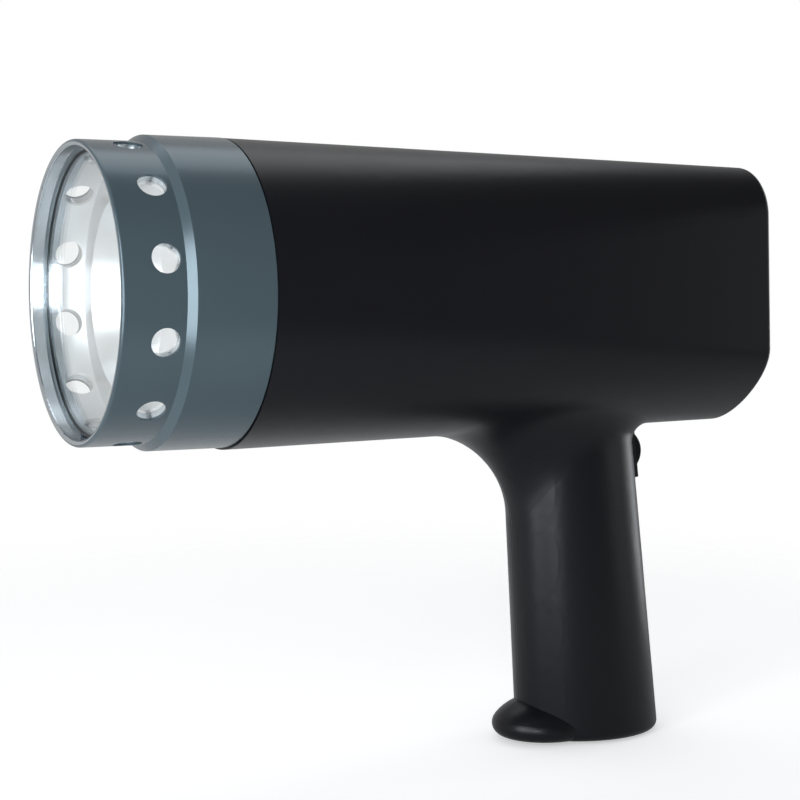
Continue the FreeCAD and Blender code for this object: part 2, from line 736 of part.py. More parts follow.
def housing():
    """Both halves, before they are parted along the middle plane."""
    outside = outer_form()
    shell = outside.cut(cavity())
    additions = [spigot(), rear_ledge(), lamp_board_ribs()]
    additions += power_board_ribs() + battery_ribs()
    additions += screw_bosses(barrel(WALL / 2).fuse(grip(WALL / 2).common(above_base(WALL))))
    shell = shell.fuse(additions)
    return shell.cut(screw_holes() + base_screw_holes() + [switch_window()])


def housing_halves():
    whole = housing()
    left = whole.common(box((-FAR, FAR), (-FAR, 0), (-FAR, FAR)))
    right = whole.common(box((-FAR, FAR), (0, FAR), (-FAR, FAR)))
    return solid_of(left), solid_of(right)


def clamshell_screw(point):
    shank = rod(point - Y_AXIS * SCREW_BITE, PILOT_R, SCREW_BITE + WEB, Y_AXIS)
    head = rod(point + Y_AXIS * WEB, HEAD_R, HEAD_HEIGHT, Y_AXIS)
    return socket_head(shank.fuse(head), point + Y_AXIS * (WEB + HEAD_HEIGHT), Y_AXIS)


def socket_head(screw, top, outward):
    """Cut a cross recess into a screw's head."""
    bars = [box((-length, length), (-width, width), (-RECESS_DEPTH, PAST))
            for length, width in ((RECESS_ARM, RECESS_SLOT), (RECESS_SLOT, RECESS_ARM))]
    turn = FreeCAD.Rotation(Z_AXIS, outward)
    for bar in bars:
        bar.Placement = FreeCAD.Placement(top, turn).multiply(bar.Placement)
    return screw.cut(bars)


def housing_screws():
    return Part.makeCompound([clamshell_screw(point) for point in screw_points()])


# ---- nose ---------------------------------------------------------------------------------------
def vent_tools():
    """Radial cutters, spread evenly and symmetric about the upright plane."""
    step = 360.0 / VENT_COUNT
    tools = []
    for number in range(VENT_COUNT):
        angle = math.radians(step * (number + 0.5))
        outward = Vec(0, math.sin(angle), math.cos(angle))
        start = Vec(RIM_X + VENT_DEPTH, 0, AXIS_Z) + outward * (SKIRT_BORE_R - VENT_R)
        tools.append(rod(start, VENT_R, FAR, outward))
    return tools


def nose_ring():
    lip = GUARD_BORE_R + RIM_ROUND
    crown = GUARD_R - RIM_ROUND
    slant = RIM_ROUND * (1 - math.sqrt(0.5))
    profile = [
        arc((RIM_ROUND, GUARD_BORE_R), (slant, GUARD_BORE_R + slant), (0, lip)),
        line((0, lip), (0, crown)),
        arc((0, crown), (slant, GUARD_R - slant), (RIM_ROUND, GUARD_R)),
        line((RIM_ROUND, GUARD_R), (GUARD_LENGTH, GUARD_R)),
        line((GUARD_LENGTH, GUARD_R), (CHAMFER_DEPTH, COLLAR_R)),
        line((CHAMFER_DEPTH, COLLAR_R), (COLLAR_DEPTH - COLLAR_EDGE, COLLAR_R)),
        line((COLLAR_DEPTH - COLLAR_EDGE, COLLAR_R), (COLLAR_DEPTH, COLLAR_R - COLLAR_EDGE)),
        line((COLLAR_DEPTH, COLLAR_R - COLLAR_EDGE), (COLLAR_DEPTH, COLLAR_BORE_R)),
        line((COLLAR_DEPTH, COLLAR_BORE_R), (BORE_START, COLLAR_BORE_R)),
        line((BORE_START, COLLAR_BORE_R), (BORE_START, SKIRT_R + SEAT_GAP)),
        line((BORE_START, SKIRT_R + SEAT_GAP), (BAND_END, SKIRT_R + SEAT_GAP)),
        line((BAND_END, SKIRT_R + SEAT_GAP), (BAND_END, BAND_R)),
        line((BAND_END, BAND_R), (SEAT_DEPTH, BAND_R)),
        line((SEAT_DEPTH, BAND_R), (SEAT_DEPTH, GUARD_BORE_R)),
        line((SEAT_DEPTH, GUARD_BORE_R), (CLIP_END, GUARD_BORE_R)),
        line((CLIP_END, GUARD_BORE_R), (CLIP_END, GUARD_BORE_R + CLIP_BITE)),
        line((CLIP_END, GUARD_BORE_R + CLIP_BITE), (CLIP_DEPTH, GUARD_BORE_R + CLIP_BITE)),
        line((CLIP_DEPTH, GUARD_BORE_R + CLIP_BITE), (CLIP_DEPTH, GUARD_BORE_R)),
        line((CLIP_DEPTH, GUARD_BORE_R), (RIM_ROUND, GUARD_BORE_R)),
    ]
    return turned(profile).cut(vent_tools())


def lens_clip():
    """A flat spring ring with a gap at the bottom."""
    ring = turned_polygon([
        (CLIP_DEPTH, GUARD_BORE_R - CLIP_REACH), (CLIP_DEPTH, GUARD_BORE_R + CLIP_BITE),
        (CLIP_END, GUARD_BORE_R + CLIP_BITE), (CLIP_END, GUARD_BORE_R - CLIP_REACH)])
    half = math.radians(CLIP_GAP_DEG / 2)
    reach = 2 * GUARD_R
    notch = prism([Vec(RIM_X, 0, AXIS_Z),
                   Vec(RIM_X, -reach * math.sin(half), AXIS_Z - reach * math.cos(half)),
                   Vec(RIM_X, reach * math.sin(half), AXIS_Z - reach * math.cos(half))],
                  Vec(COLLAR_DEPTH, 0, 0))
    return ring.cut(notch)


def front_lens():
    edge = GUARD_BORE_R - SEAT_GAP
    return rod_x(RIM_X + CLIP_END, RIM_X + LENS_END, edge)


def lens_seal():
    edge = GUARD_BORE_R - SEAT_GAP
    inner = BAND_R + SEAT_GAP
    return turned_polygon([(LENS_END, inner), (LENS_END, edge), (SEAT_DEPTH, edge), (SEAT_DEPTH, inner)])


def reflector():
    """Skirt with the vent holes, shallow cone floor, and parabolic bowl down to the lamp."""
    bowl_pole = ((MOUTH_R + NECK_R) / 2, APEX_DEPTH - (APEX_DEPTH - MOUTH_DEPTH) * NECK_R / MOUTH_R)
    back = BOWL_SHEET
    neck_inside = (NECK_DEPTH, NECK_R)
    neck_outside = (NECK_DEPTH + back, NECK_R)
    mouth_inside = (MOUTH_DEPTH, MOUTH_R)
    mouth_outside = (MOUTH_DEPTH + back, MOUTH_R + back)
    profile = [
        line((BAND_END, SKIRT_BORE_R), (BAND_END, SKIRT_R)),
        line((BAND_END, SKIRT_R), (FLOOR_DEPTH + back, SKIRT_R)),
        line((FLOOR_DEPTH + back, SKIRT_R), mouth_outside),
        parabola(mouth_outside, (bowl_pole[1] + back, bowl_pole[0] + back), neck_outside),
        line(neck_outside, neck_inside),
        parabola(neck_inside, (bowl_pole[1], bowl_pole[0]), mouth_inside),
        line(mouth_inside, (FLOOR_DEPTH, SKIRT_BORE_R)),
        line((FLOOR_DEPTH, SKIRT_BORE_R), (BAND_END, SKIRT_BORE_R)),
    ]
    return turned(profile).cut(vent_tools())


def reflector_spacer():
    """Presses the reflector's skirt forward when the collar is drawn onto the spigot."""
    start, inner = FLOOR_DEPTH + BOWL_SHEET, SKIRT_R - SPACER_WALL
    return turned_polygon([(start, inner + SPACER_STEP), (start, SKIRT_R),
                           (SPIGOT_DEPTH, SKIRT_R), (SPIGOT_DEPTH, inner)])


def flash_tube():
    """A U of glass tube with both feet in the lamp base."""
    top = TUBE_TOP_DEPTH + TUBE_R
    foot = LAMP_BASE_DEPTH + TUBE_SINK
    bend = RIM_X + top + TUBE_LEG
    legs = [rod_x(bend, RIM_X + foot, TUBE_R, side * TUBE_LEG) for side in (-1, 1)]
    ring = Part.makeTorus(TUBE_LEG, TUBE_R, Vec(bend, 0, AXIS_Z), Z_AXIS)
    half = ring.common(box((-FAR, bend), (-FAR, FAR), (-FAR, FAR)))
    return solid_of(fused([half] + legs))


def lamp_base():
    start = RIM_X + LAMP_BASE_DEPTH
    base = rod_x(start, start + LAMP_BASE_LENGTH, LAMP_BASE_R)
    sockets = [rod_x(start - PAST, start + TUBE_SINK, TUBE_R, side * TUBE_LEG) for side in (-1, 1)]
    return base.cut(sockets)


def lamp_board():
    x = RIM_X + LAMP_BOARD_DEPTH
    return rod_x(x, x + BOARD_THICKNESS, LAMP_BOARD_R)


def trigger_coil():
    """Potted bobbin with two cheeks, on the back of the lamp board."""
    x = RIM_X + LAMP_BOARD_DEPTH + BOARD_THICKNESS
    core = rod_x(x, x + COIL_LENGTH, COIL_CORE_R, COIL_OFFSET)
    cheeks = [rod_x(start, start + COIL_CHEEK, COIL_R, COIL_OFFSET)
              for start in (x, x + COIL_LENGTH - COIL_CHEEK)]
    return fused([core] + cheeks)


# ---- electronics in the barrel ------------------------------------------------------------------
def storage_capacitors():
    """Two film capacitors side by side on the power board."""
    top = POWER_BOARD_Z + BOARD_THICKNESS + CAPACITOR_R
    offset = CAPACITOR_R + CAPACITOR_GAP / 2
    pair = []
    for side in (-1, 1):
        can = rod_x(CAPACITOR_X - CAPACITOR_LENGTH / 2, CAPACITOR_X + CAPACITOR_LENGTH / 2,
                    CAPACITOR_R, side * offset, top)
        pair.append(can.makeChamfer(CAPACITOR_EDGE, edges_across(can, X_AXIS)))
    return Part.makeCompound(pair)


def inverter_transformer():
    """A wound former between the two flat halves of its ferrite core."""
    floor = AXIS_Z + POWER_BOARD_Z + BOARD_THICKNESS
    length, width, height = COIL_FORMER
    former = box((CORE_X - length / 2, CORE_X + length / 2), (-width / 2, width / 2), (floor, floor + height))
    length, width, height = CORE_SIZE
    middle = floor + COIL_FORMER[2] / 2
    core = box((CORE_X - length / 2, CORE_X + length / 2), (-width / 2, width / 2),
               (middle - height / 2, middle + height / 2))
    return fused([former, core])


# ---- base ---------------------------------------------------------------------------------------
def countersunk_head(side):
    return Part.makeCone(BASE_HEAD_R, BASE_SCREW_R, BASE_HEAD_R - BASE_SCREW_R,
                         Vec(0, side * BASE_SCREW_Y, 0), Z_AXIS)


def base_plate():
    plate = base_prism(BASE_RIM + SEAT_GAP, 0, BASE_PLATE_THICKNESS)
    length = BASE_PLATE_THICKNESS + 2 * PAST
    holes = [rod(Vec(0, 0, -PAST), BUSH_R, length, Z_AXIS),
             rod(Vec(CHARGE_X, 0, -PAST), CHARGE_R, length, Z_AXIS)]
    for side in (-1, 1):
        holes.append(rod(Vec(0, side * BASE_SCREW_Y, -PAST), BASE_SCREW_R, length, Z_AXIS))
        holes.append(countersunk_head(side))
    return plate.cut([on_base(hole) for hole in holes])


def base_screws():
    screws = []
    for side in (-1, 1):
        shank = rod(Vec(0, side * BASE_SCREW_Y, 0), BASE_SCREW_R, BASE_LEDGE_TOP, Z_AXIS)
        screws.append(on_base(fused([countersunk_head(side), shank])))
    return Part.makeCompound(screws)


def tripod_bush():
    body = rod(Vec(0, 0, 0), BUSH_R, BUSH_LENGTH, Z_AXIS)
    flange = rod(Vec(0, 0, BASE_PLATE_THICKNESS), BUSH_FLANGE_R, BUSH_FLANGE, Z_AXIS)
    thread = rod(Vec(0, 0, -PAST), BUSH_THREAD_R, BUSH_THREAD_DEPTH + PAST, Z_AXIS)
    return on_base(body.fuse(flange).cut(thread))


def charge_socket():
    body = rod(Vec(CHARGE_X, 0, 0), CHARGE_R, CHARGE_LENGTH, Z_AXIS)
    bore = rod(Vec(CHARGE_X, 0, -PAST), CHARGE_BORE_R, CHARGE_BORE_DEPTH + PAST, Z_AXIS)
    pin = rod(Vec(CHARGE_X, 0, CHARGE_PIN_SINK), CHARGE_PIN_R, CHARGE_BORE_DEPTH, Z_AXIS)
    return on_base(body.cut(bore).fuse(pin))


# ---- power rocker -------------------------------------------------------------------------------
def on_back(shape):
    """Place a piece drawn with +X out of the grip's back and the origin on its surface."""
    turned_shape = shape.rotated(Vec(0, 0, 0), Y_AXIS, -BACK_ANGLE)
    turned_shape.translate(Vec(grip_back(ROCKER_Z), 0, ROCKER_Z))
    return turned_shape


def frame_half_height():
    return ROCKER_R + ROCKER_CLEARANCE + FRAME_WALL


def frame_half_width():
    return ROCKER_WIDTH / 2 + ROCKER_CLEARANCE + FRAME_WALL


def switch_window():
    """The opening in the back of the grip that the switch frame drops into."""
    height = frame_half_height() + SEAT_GAP / 2
    width = frame_half_width() + SEAT_GAP / 2
    return on_back(box((-FRAME_DEPTH, FRAME_DEPTH), (-width, width), (-height, height)))


def switch_frame():
    height, width = frame_half_height(), frame_half_width()
    shell = box((-FRAME_DEPTH, FRAME_PROUD), (-width, width), (-height, height))
    well_height, well_width = height - FRAME_WALL, width - FRAME_WALL
    lowest = -ROCKER_SINK - ROCKER_R - ROCKER_CLEARANCE
    well = box((lowest, -FRAME_LIP), (-well_width, well_width), (-well_height, well_height))
    chord = math.sqrt(ROCKER_R ** 2 - (ROCKER_SINK - FRAME_LIP) ** 2) + ROCKER_CLEARANCE
    mouth = box((-FRAME_LIP - PAST, FRAME_PROUD + PAST), (-well_width, well_width), (-chord, chord))
    pivot = rod(Vec(-ROCKER_SINK, -well_width - PIVOT_LENGTH, 0), PIVOT_R + PIVOT_CLEARANCE,
                2 * (well_width + PIVOT_LENGTH), Y_AXIS)
    return on_back(shell.cut([well, mouth, pivot]))


def power_rocker():
    """Half-moon paddle: shown tipped to its off side, with grip grooves over its crown."""
    centre = Vec(-ROCKER_SINK, 0, 0)
    half = ROCKER_WIDTH / 2
    disc = rod(centre - Y_AXIS * half, ROCKER_R, ROCKER_WIDTH, Y_AXIS)
    disc = disc.makeChamfer(ROCKER_EDGE, edges_across(disc, Y_AXIS))
    paddle = disc.common(box((-ROCKER_SINK - ROCKER_BACK, FAR), (-FAR, FAR), (-FAR, FAR)))
    reach = half - ROCKER_GROOVE_MARGIN
    grooves = []
    for number in range(ROCKER_GROOVES):
        angle = math.radians((number - (ROCKER_GROOVES - 1) / 2) * ROCKER_GROOVE_STEP)
        crown = centre + Vec(math.cos(angle), 0, math.sin(angle)) * ROCKER_R
        grooves.append(rod(crown - Y_AXIS * reach, ROCKER_GROOVE_R, 2 * reach, Y_AXIS))
    paddle = paddle.cut(grooves)
    pin_half = half + ROCKER_CLEARANCE + PIVOT_LENGTH - PIVOT_CLEARANCE
    paddle = paddle.fuse(rod(centre - Y_AXIS * pin_half, PIVOT_R, 2 * pin_half, Y_AXIS))
    return on_back(paddle.rotated(centre, Y_AXIS, -ROCKER_THROW / 2))


# ---- rear panel ---------------------------------------------------------------------------------
def key_y(number):
    return (number - (len(KEY_NAMES) - 1) / 2) * KEY_PITCH


def post_points():
    return [(side * POST_Y, z) for side in (-1, 1) for z in (POST_TOP_Z, POST_BOTTOM_Z)]


def window_block(x_start, x_end, margin=0.0):
    """A rounded rectangle behind or in front of the display."""
    half_width = WINDOW_WIDTH / 2 - margin
    half_height = WINDOW_HEIGHT / 2 - margin
    block = box((x_start, x_end), (-half_width, half_width),
                (AXIS_Z + WINDOW_Z - half_height, AXIS_Z + WINDOW_Z + half_height))
    corners = [edge for edge in block.Edges if edge.BoundBox.XLength > x_end - x_start - NEAR]
    return block.makeFillet(WINDOW_ROUND, corners)


def rear_panel():
    before, behind = PANEL_BACK_X - PAST, PANEL_X + PAST
    panel = rear_slice(WALL + PANEL_GAP, PANEL_BACK_X, PANEL_X)
    posts = [rod_x(DISPLAY_BOARD_X + BOARD_THICKNESS, PANEL_BACK_X, POST_R, y, z)
             for y, z in post_points()]
    panel = fused([panel] + all_on_rear(posts))
    holes = [window_block(PANEL_X - WINDOW_THICKNESS, behind, -SEAT_GAP),
             window_block(before, PANEL_X, WINDOW_LIP)]
    holes += [rod_x(before, behind, KEY_R + KEY_CLEARANCE, key_y(number), KEY_Z)
              for number in range(len(KEY_NAMES))]
    holes.append(rod_x(before, behind, BUSHING_R, 0, KNOB_Z))
    holes += [rod_x(before, behind, JACK_NECK_R, side * JACK_Y, JACK_Z) for side in (-1, 1)]
    for y, z in panel_screw_points():
        holes.append(rod_x(before, behind, CLEAR_R, y, z))
        holes.append(rod_x(PANEL_X - HEAD_HEIGHT / 2, behind, COUNTERBORE_R, y, z))
    holes += [rod_x(DISPLAY_BOARD_X, before, POST_PILOT_R, y, z) for y, z in post_points()]
    return solid_of(panel.cut(all_on_rear(holes)))


def panel_screws():
    screws = []
    seat = PANEL_X - HEAD_HEIGHT / 2
    for y, z in panel_screw_points():
        head = rod_x(seat, seat + HEAD_HEIGHT, HEAD_R, y, z)
        head = head.makeChamfer(PANEL_HEAD_EDGE, edges_behind(head, PANEL_X))
        shank = rod_x(seat - PANEL_SCREW_LENGTH, seat, PILOT_R, y, z)
        top = Vec(seat + HEAD_HEIGHT, y, AXIS_Z + z)
        screws.append(socket_head(fused([head, shank]), top, X_AXIS))
    return on_rear(Part.makeCompound(screws))


def display_window():
    return on_rear(window_block(PANEL_X - WINDOW_THICKNESS, PANEL_X))


def display_module():
    """Liquid-crystal glass in its frame, between the panel and the display board."""
    half_width, half_height = MODULE_WIDTH / 2, MODULE_HEIGHT / 2
    middle = AXIS_Z + WINDOW_Z
    start, end = DISPLAY_BOARD_X + BOARD_THICKNESS, PANEL_BACK_X
    frame = box((start, end), (-half_width, half_width), (middle - half_height, middle + half_height))
    glass = window_block(end, PANEL_X - WINDOW_THICKNESS, WINDOW_LIP + SEAT_GAP)
    return on_rear(fused([frame, glass]))


def display_board():
    start, end = DISPLAY_BOARD_X, DISPLAY_BOARD_X + BOARD_THICKNESS
    before, behind = start - PAST, end + PAST
    board = box((start, end), (-BOARD_HALF_WIDTH, BOARD_HALF_WIDTH),
                (AXIS_Z + BOARD_BOTTOM, AXIS_Z + BOARD_TOP))
    board = on_rear(board).common(barrel(WALL + LEDGE_WIDTH))
    holes = [rod_x(before, behind, PANEL_BOSS_R + BOARD_CLEARANCE, y, z)
             for y, z in panel_screw_points()]
    holes += [rod_x(before, behind, POST_CLEAR_R, y, z) for y, z in post_points()]
    holes += [rod_x(before, behind, JACK_BODY_R + JACK_HOLE_GAP, side * JACK_Y, JACK_Z)
              for side in (-1, 1)]
    return solid_of(board.cut(all_on_rear(holes)))


def board_screws():
    """Four screws through the display board into the panel's posts."""
    end = DISPLAY_BOARD_X + BOARD_THICKNESS + POST_SCREW_BITE
    screws = []
    for y, z in post_points():
        head = rod_x(DISPLAY_BOARD_X - POST_HEAD_HEIGHT, DISPLAY_BOARD_X, POST_HEAD_R, y, z)
        shank = rod_x(DISPLAY_BOARD_X, end, POST_PILOT_R, y, z)
        screws.append(fused([head, shank]))
    return on_rear(Part.makeCompound(screws))


def key(number):
    """Cap through the panel, a flange that keeps it in, and a stem to its switch."""
    y = key_y(number)
    cap = rod_x(KEY_FLANGE_X - KEY_FLANGE, PANEL_X + KEY_PROUD, KEY_R, y, KEY_Z)
    cap = cap.makeChamfer(KEY_EDGE, edges_behind(cap, PANEL_X))
    flange = rod_x(KEY_FLANGE_X - KEY_FLANGE, KEY_FLANGE_X, KEY_FLANGE_R, y, KEY_Z)
    stem = rod_x(STEM_X, KEY_FLANGE_X - KEY_FLANGE, KEY_STEM_R, y, KEY_Z)
    return on_rear(fused([cap, flange, stem]))


def key_switches():
    """Four tactile switches soldered to the display board."""
    start = DISPLAY_BOARD_X + BOARD_THICKNESS
    end = DISPLAY_BOARD_X + SWITCH_HEIGHT
    half = SWITCH_SIDE / 2
    switches = []
    for number in range(len(KEY_NAMES)):
        y, z = key_y(number), AXIS_Z + KEY_Z
        case = box((start, end - SWITCH_BUTTON), (y - half, y + half), (z - half, z + half))
        button = rod_x(end - SWITCH_BUTTON, end, KEY_STEM_R, y, KEY_Z)
        switches.append(fused([case, button]))
    return on_rear(Part.makeCompound(switches))


def encoder():
    start = DISPLAY_BOARD_X + BOARD_THICKNESS
    half = ENCODER_SIDE / 2
    z = AXIS_Z + KNOB_Z
    case = box((start, PANEL_BACK_X), (-half, half), (z - half, z + half))
    bushing = rod_x(PANEL_BACK_X, PANEL_X + NUT_HEIGHT + BUSHING_PROUD, BUSHING_R, 0, KNOB_Z)
    bore = rod_x(start + ENCODER_FLOOR, PANEL_X + KNOB_LENGTH, SHAFT_R + SHAFT_CLEARANCE, 0, KNOB_Z)
    return on_rear(case.fuse(bushing).cut(bore))


def hex_nut(x, y, z, radius, bore):
    turns = [math.radians(angle) for angle in range(0, 360, 60)]
    corners = [Vec(x, y + radius * math.cos(turn), AXIS_Z + z + radius * math.sin(turn))
               for turn in turns]
    hole = rod_x(x - PAST, x + NUT_HEIGHT + PAST, bore, y, z)
    return prism(corners, Vec(NUT_HEIGHT, 0, 0)).cut(hole)


def encoder_nut():
    return on_rear(hex_nut(PANEL_X, 0, KNOB_Z, NUT_R, BUSHING_R))


def knob_shaft():
    start = DISPLAY_BOARD_X + BOARD_THICKNESS + ENCODER_FLOOR + SHAFT_END_GAP
    return on_rear(rod_x(start, PANEL_X + KNOB_GAP + KNOB_LENGTH - KNOB_CAP, SHAFT_R, 0, KNOB_Z))


def rate_knob():
    """Fluted knob with a skirt, a finger dimple and a hollow over the encoder's nut."""
    start = PANEL_X + KNOB_GAP
    end = start + KNOB_LENGTH
    body = rod_x(start, end, KNOB_R, 0, KNOB_Z)
    body = body.makeChamfer(KNOB_EDGE, edges_behind(body, start))
    flutes = []
    for number in range(KNOB_FLUTES):
        angle = 2 * math.pi * number / KNOB_FLUTES
        y, z = KNOB_R * math.cos(angle), KNOB_R * math.sin(angle)
        flutes.append(rod_x(start + KNOB_SKIRT, end + PAST, FLUTE_R, y, KNOB_Z + z))
    body = body.cut(flutes)
    skirt = rod_x(start, start + KNOB_SKIRT, KNOB_SKIRT_R, 0, KNOB_Z)
    body = body.fuse(skirt)
    dimple = Part.makeSphere(DIMPLE_R, Vec(end + DIMPLE_RISE, 0, AXIS_Z + KNOB_Z + DIMPLE_Y))
    hollow = rod_x(start - PAST, PANEL_X + NUT_HEIGHT + NUT_CLEARANCE, NUT_R + NUT_CLEARANCE, 0, KNOB_Z)
    socket = rod_x(start - PAST, end - KNOB_CAP, SHAFT_R, 0, KNOB_Z)
    return on_rear(body.cut([dimple, hollow, socket]))


def jack(side):
    y = side * JACK_Y
    mouth = PANEL_X + JACK_PROUD
    neck = rod_x(PANEL_BACK_X, mouth, JACK_NECK_R, y, JACK_Z)
    body = rod_x(PANEL_BACK_X - JACK_BODY_LENGTH, PANEL_BACK_X, JACK_BODY_R, y, JACK_Z)
    bore = rod_x(mouth - JACK_BORE_LENGTH, mouth + PAST, JACK_BORE_R, y, JACK_Z)
    return on_rear(neck.fuse(body).cut(bore))


def jack_nuts():
    end = PANEL_X + NUT_HEIGHT
    nuts = []
    for side in (-1, 1):
        nut = rod_x(PANEL_X, end, JACK_NUT_R, side * JACK_Y, JACK_Z)
        nut = nut.makeChamfer(JACK_NUT_EDGE, edges_behind(nut, PANEL_X))
        nuts.append(nut.cut(rod_x(PANEL_X - PAST, end + PAST, JACK_NECK_R, side * JACK_Y, JACK_Z)))
    return on_rear(Part.makeCompound(nuts))


# ---- all pieces ---------------------------------------------------------------------------------
def all_parts():
    left, right = housing_halves()
    parts = {
        "housing_left": left,
        "housing_right": right,
        "housing_screws": housing_screws(),
        "nose_ring": nose_ring(),
        "lens_clip": lens_clip(),
        "front_lens": front_lens(),
        "lens_seal": lens_seal(),
        "reflector": reflector(),
        "reflector_spacer": reflector_spacer(),
        "flash_tube": flash_tube(),
        "lamp_base": lamp_base(),
        "lamp_board": lamp_board(),
        "trigger_coil": trigger_coil(),
        "power_board": power_board(),
        "storage_capacitors": storage_capacitors(),
        "inverter_transformer": inverter_transformer(),
        "battery_pack": battery_pack(),
        "base_plate": base_plate(),
        "base_screws": base_screws(),
        "tripod_bush": tripod_bush(),
        "charge_socket": charge_socket(),
        "switch_frame": switch_frame(),
        "power_rocker": power_rocker(),
        "rear_panel": rear_panel(),
        "panel_screws": panel_screws(),
        "display_window": display_window(),
        "display_module": display_module(),
        "display_board": display_board(),
        "board_screws": board_screws(),
        "key_switches": key_switches(),
        "encoder": encoder(),
        "encoder_nut": encoder_nut(),
        "knob_shaft": knob_shaft(),
        "rate_knob": rate_knob(),
        "jack_nuts": jack_nuts(),
    }
    for number, name in enumerate(KEY_NAMES):
        parts[name] = key(number)
    for name, side in zip(JACK_NAMES, (-1, 1)):
        parts[name] = jack(side)
    return parts


os.makedirs("parts", exist_ok=True)
for node, shape in all_parts().items():
    shape.exportStep(os.path.join("parts", node + ".step"))
    solids = shape.Solids
    print(f"{node:22s} solids {len(solids)} valid {shape.isValid()} volume {shape.Volume:.0f}")
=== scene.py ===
import json
import math

import bpy
import numpy as np
from bpy.props import FloatProperty, FloatVectorProperty, IntProperty, PointerProperty
from mathutils import Matrix, Vector


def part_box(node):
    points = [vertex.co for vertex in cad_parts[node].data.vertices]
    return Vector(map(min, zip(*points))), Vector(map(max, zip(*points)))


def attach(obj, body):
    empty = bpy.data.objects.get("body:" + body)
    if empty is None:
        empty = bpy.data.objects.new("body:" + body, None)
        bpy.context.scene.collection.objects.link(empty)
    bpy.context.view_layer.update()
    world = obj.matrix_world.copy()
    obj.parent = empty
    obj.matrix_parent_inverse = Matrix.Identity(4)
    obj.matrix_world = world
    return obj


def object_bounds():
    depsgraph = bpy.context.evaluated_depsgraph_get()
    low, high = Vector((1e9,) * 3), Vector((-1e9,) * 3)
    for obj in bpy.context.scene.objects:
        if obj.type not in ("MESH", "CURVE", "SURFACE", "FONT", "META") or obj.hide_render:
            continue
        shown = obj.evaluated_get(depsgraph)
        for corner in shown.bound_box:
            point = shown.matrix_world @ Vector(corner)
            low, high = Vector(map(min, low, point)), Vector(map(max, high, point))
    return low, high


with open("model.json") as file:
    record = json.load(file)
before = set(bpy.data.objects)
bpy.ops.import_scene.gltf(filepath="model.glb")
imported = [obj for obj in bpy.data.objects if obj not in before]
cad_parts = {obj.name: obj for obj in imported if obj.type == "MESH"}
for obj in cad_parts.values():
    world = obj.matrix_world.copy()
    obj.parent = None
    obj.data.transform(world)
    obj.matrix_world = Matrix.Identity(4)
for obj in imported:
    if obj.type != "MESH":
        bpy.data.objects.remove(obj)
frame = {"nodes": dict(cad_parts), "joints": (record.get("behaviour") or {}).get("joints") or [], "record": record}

bl_info = {
    "name": "Hand-held xenon stroboscope",
    "version": (1, 0, 0),
    "blender": (4, 5, 0),
    "location": "View3D > Sidebar > Stroboscope",
    "description": "Finishes, fine fittings and studio for a pistol-grip xenon stroboscope",
    "category": "Object",
}

CAD_BOX = [list(corner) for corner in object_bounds()]
JOINTS = {joint["name"]: joint for joint in frame["joints"]}
MOUNTS = {mount["name"]: mount for mount in frame["record"]["mounts"]}
SLOTS = {part["node"]: part["material_slot"] for part in frame["record"]["subparts"]}
MM = 0.001


def linear(hex_colour):
    """Linear RGBA of an sRGB hex colour: c / 12.92 below 0.04045, else ((c + 0.055) / 1.055) ** 2.4."""
    parts = [int(hex_colour[start:start + 2], 16) / 255 for start in (0, 2, 4)]
    return tuple(c / 12.92 if c <= 0.04045 else ((c + 0.055) / 1.055) ** 2.4 for c in parts) + (1.0,)


# ---- places taken from the frame -------------------------------------------------------------
class Plane:
    """A flat face of the object: its origin, two directions along it and one out of it."""

    def __init__(self, origin, across, outward):
        self.origin = np.array(origin, float)
        self.outward = np.array(outward, float) / np.linalg.norm(outward)
        self.across = np.array(across, float)
        self.up = np.cross(self.outward, self.across)

    def world(self, points):
        """Places in the object's frame of local (across, up, outward) points."""
        points = np.asarray(points, float)
        return self.origin + points @ np.array([self.across, self.up, self.outward])

    def local(self, points):
        """Local (across, up, outward) places of points in the object's frame."""
        axes = np.array([self.across, self.up, self.outward])
        return (np.asarray(points, float) - self.origin) @ axes.T

    def box(self, node):
        """Lowest and highest local corner of a CAD node."""
        mesh = frame["nodes"][node].data
        places = np.empty(len(mesh.vertices) * 3, np.float32)
        mesh.vertices.foreach_get("co", places)
        local = self.local(places.reshape(-1, 3))
        return local.min(0), local.max(0)


ROCKER_MARK_ANGLE = 38.0     # degrees round the pivot, from the paddle's middle
ROCKER_REST_ANGLE = 20.0     # of the paddle's middle above the level, at rest
RING_LOW, RING_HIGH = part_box("nose_ring")
LENS_LOW, LENS_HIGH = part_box("front_lens")
LAMP_AXIS_Z = (RING_LOW[2] + RING_HIGH[2]) / 2
RING_GLOSS_RADIUS = (LENS_HIGH[2] - LENS_LOW[2]) / 2 + 1.5 * MM
REAR = Plane(JOINTS["rate_knob_turn"]["pos_m"], (0, 1, 0), JOINTS["rate_knob_turn"]["axis"])
FOOT = Plane(MOUNTS["tripod_bush"]["pos_m"], (0, 1, 0), MOUNTS["tripod_bush"]["axis"])


# ---- surfaces --------------------------------------------------------------------------------
CREASE = math.radians(40)    # edges sharper than this stay crisp


def full_turn(count):
    """Angles from 0 that share a full turn out evenly."""
    return np.linspace(0, 2 * math.pi, count, endpoint=False)


def surface(name, points, closed_u=False, closed_v=False, caps=False):
    """An object whose mesh is the grid points[u, v]; closed directions meet their own start.

    With caps, the first and last row of u are closed by one face each.
    """
    count_u, count_v = points.shape[:2]
    index = np.arange(count_u * count_v).reshape(count_u, count_v)
    rows = np.vstack([index, index[:1]]) if closed_u else index
    grid = np.hstack([rows, rows[:, :1]]) if closed_v else rows
    quads = np.stack([grid[:-1, :-1], grid[:-1, 1:], grid[1:, 1:], grid[1:, :-1]], -1).reshape(-1, 4)
    faces = quads.tolist()
    if caps:
        faces += [index[0, ::-1].tolist(), index[-1].tolist()]
    return piece(name, points.reshape(-1, 3), faces, smooth=True)


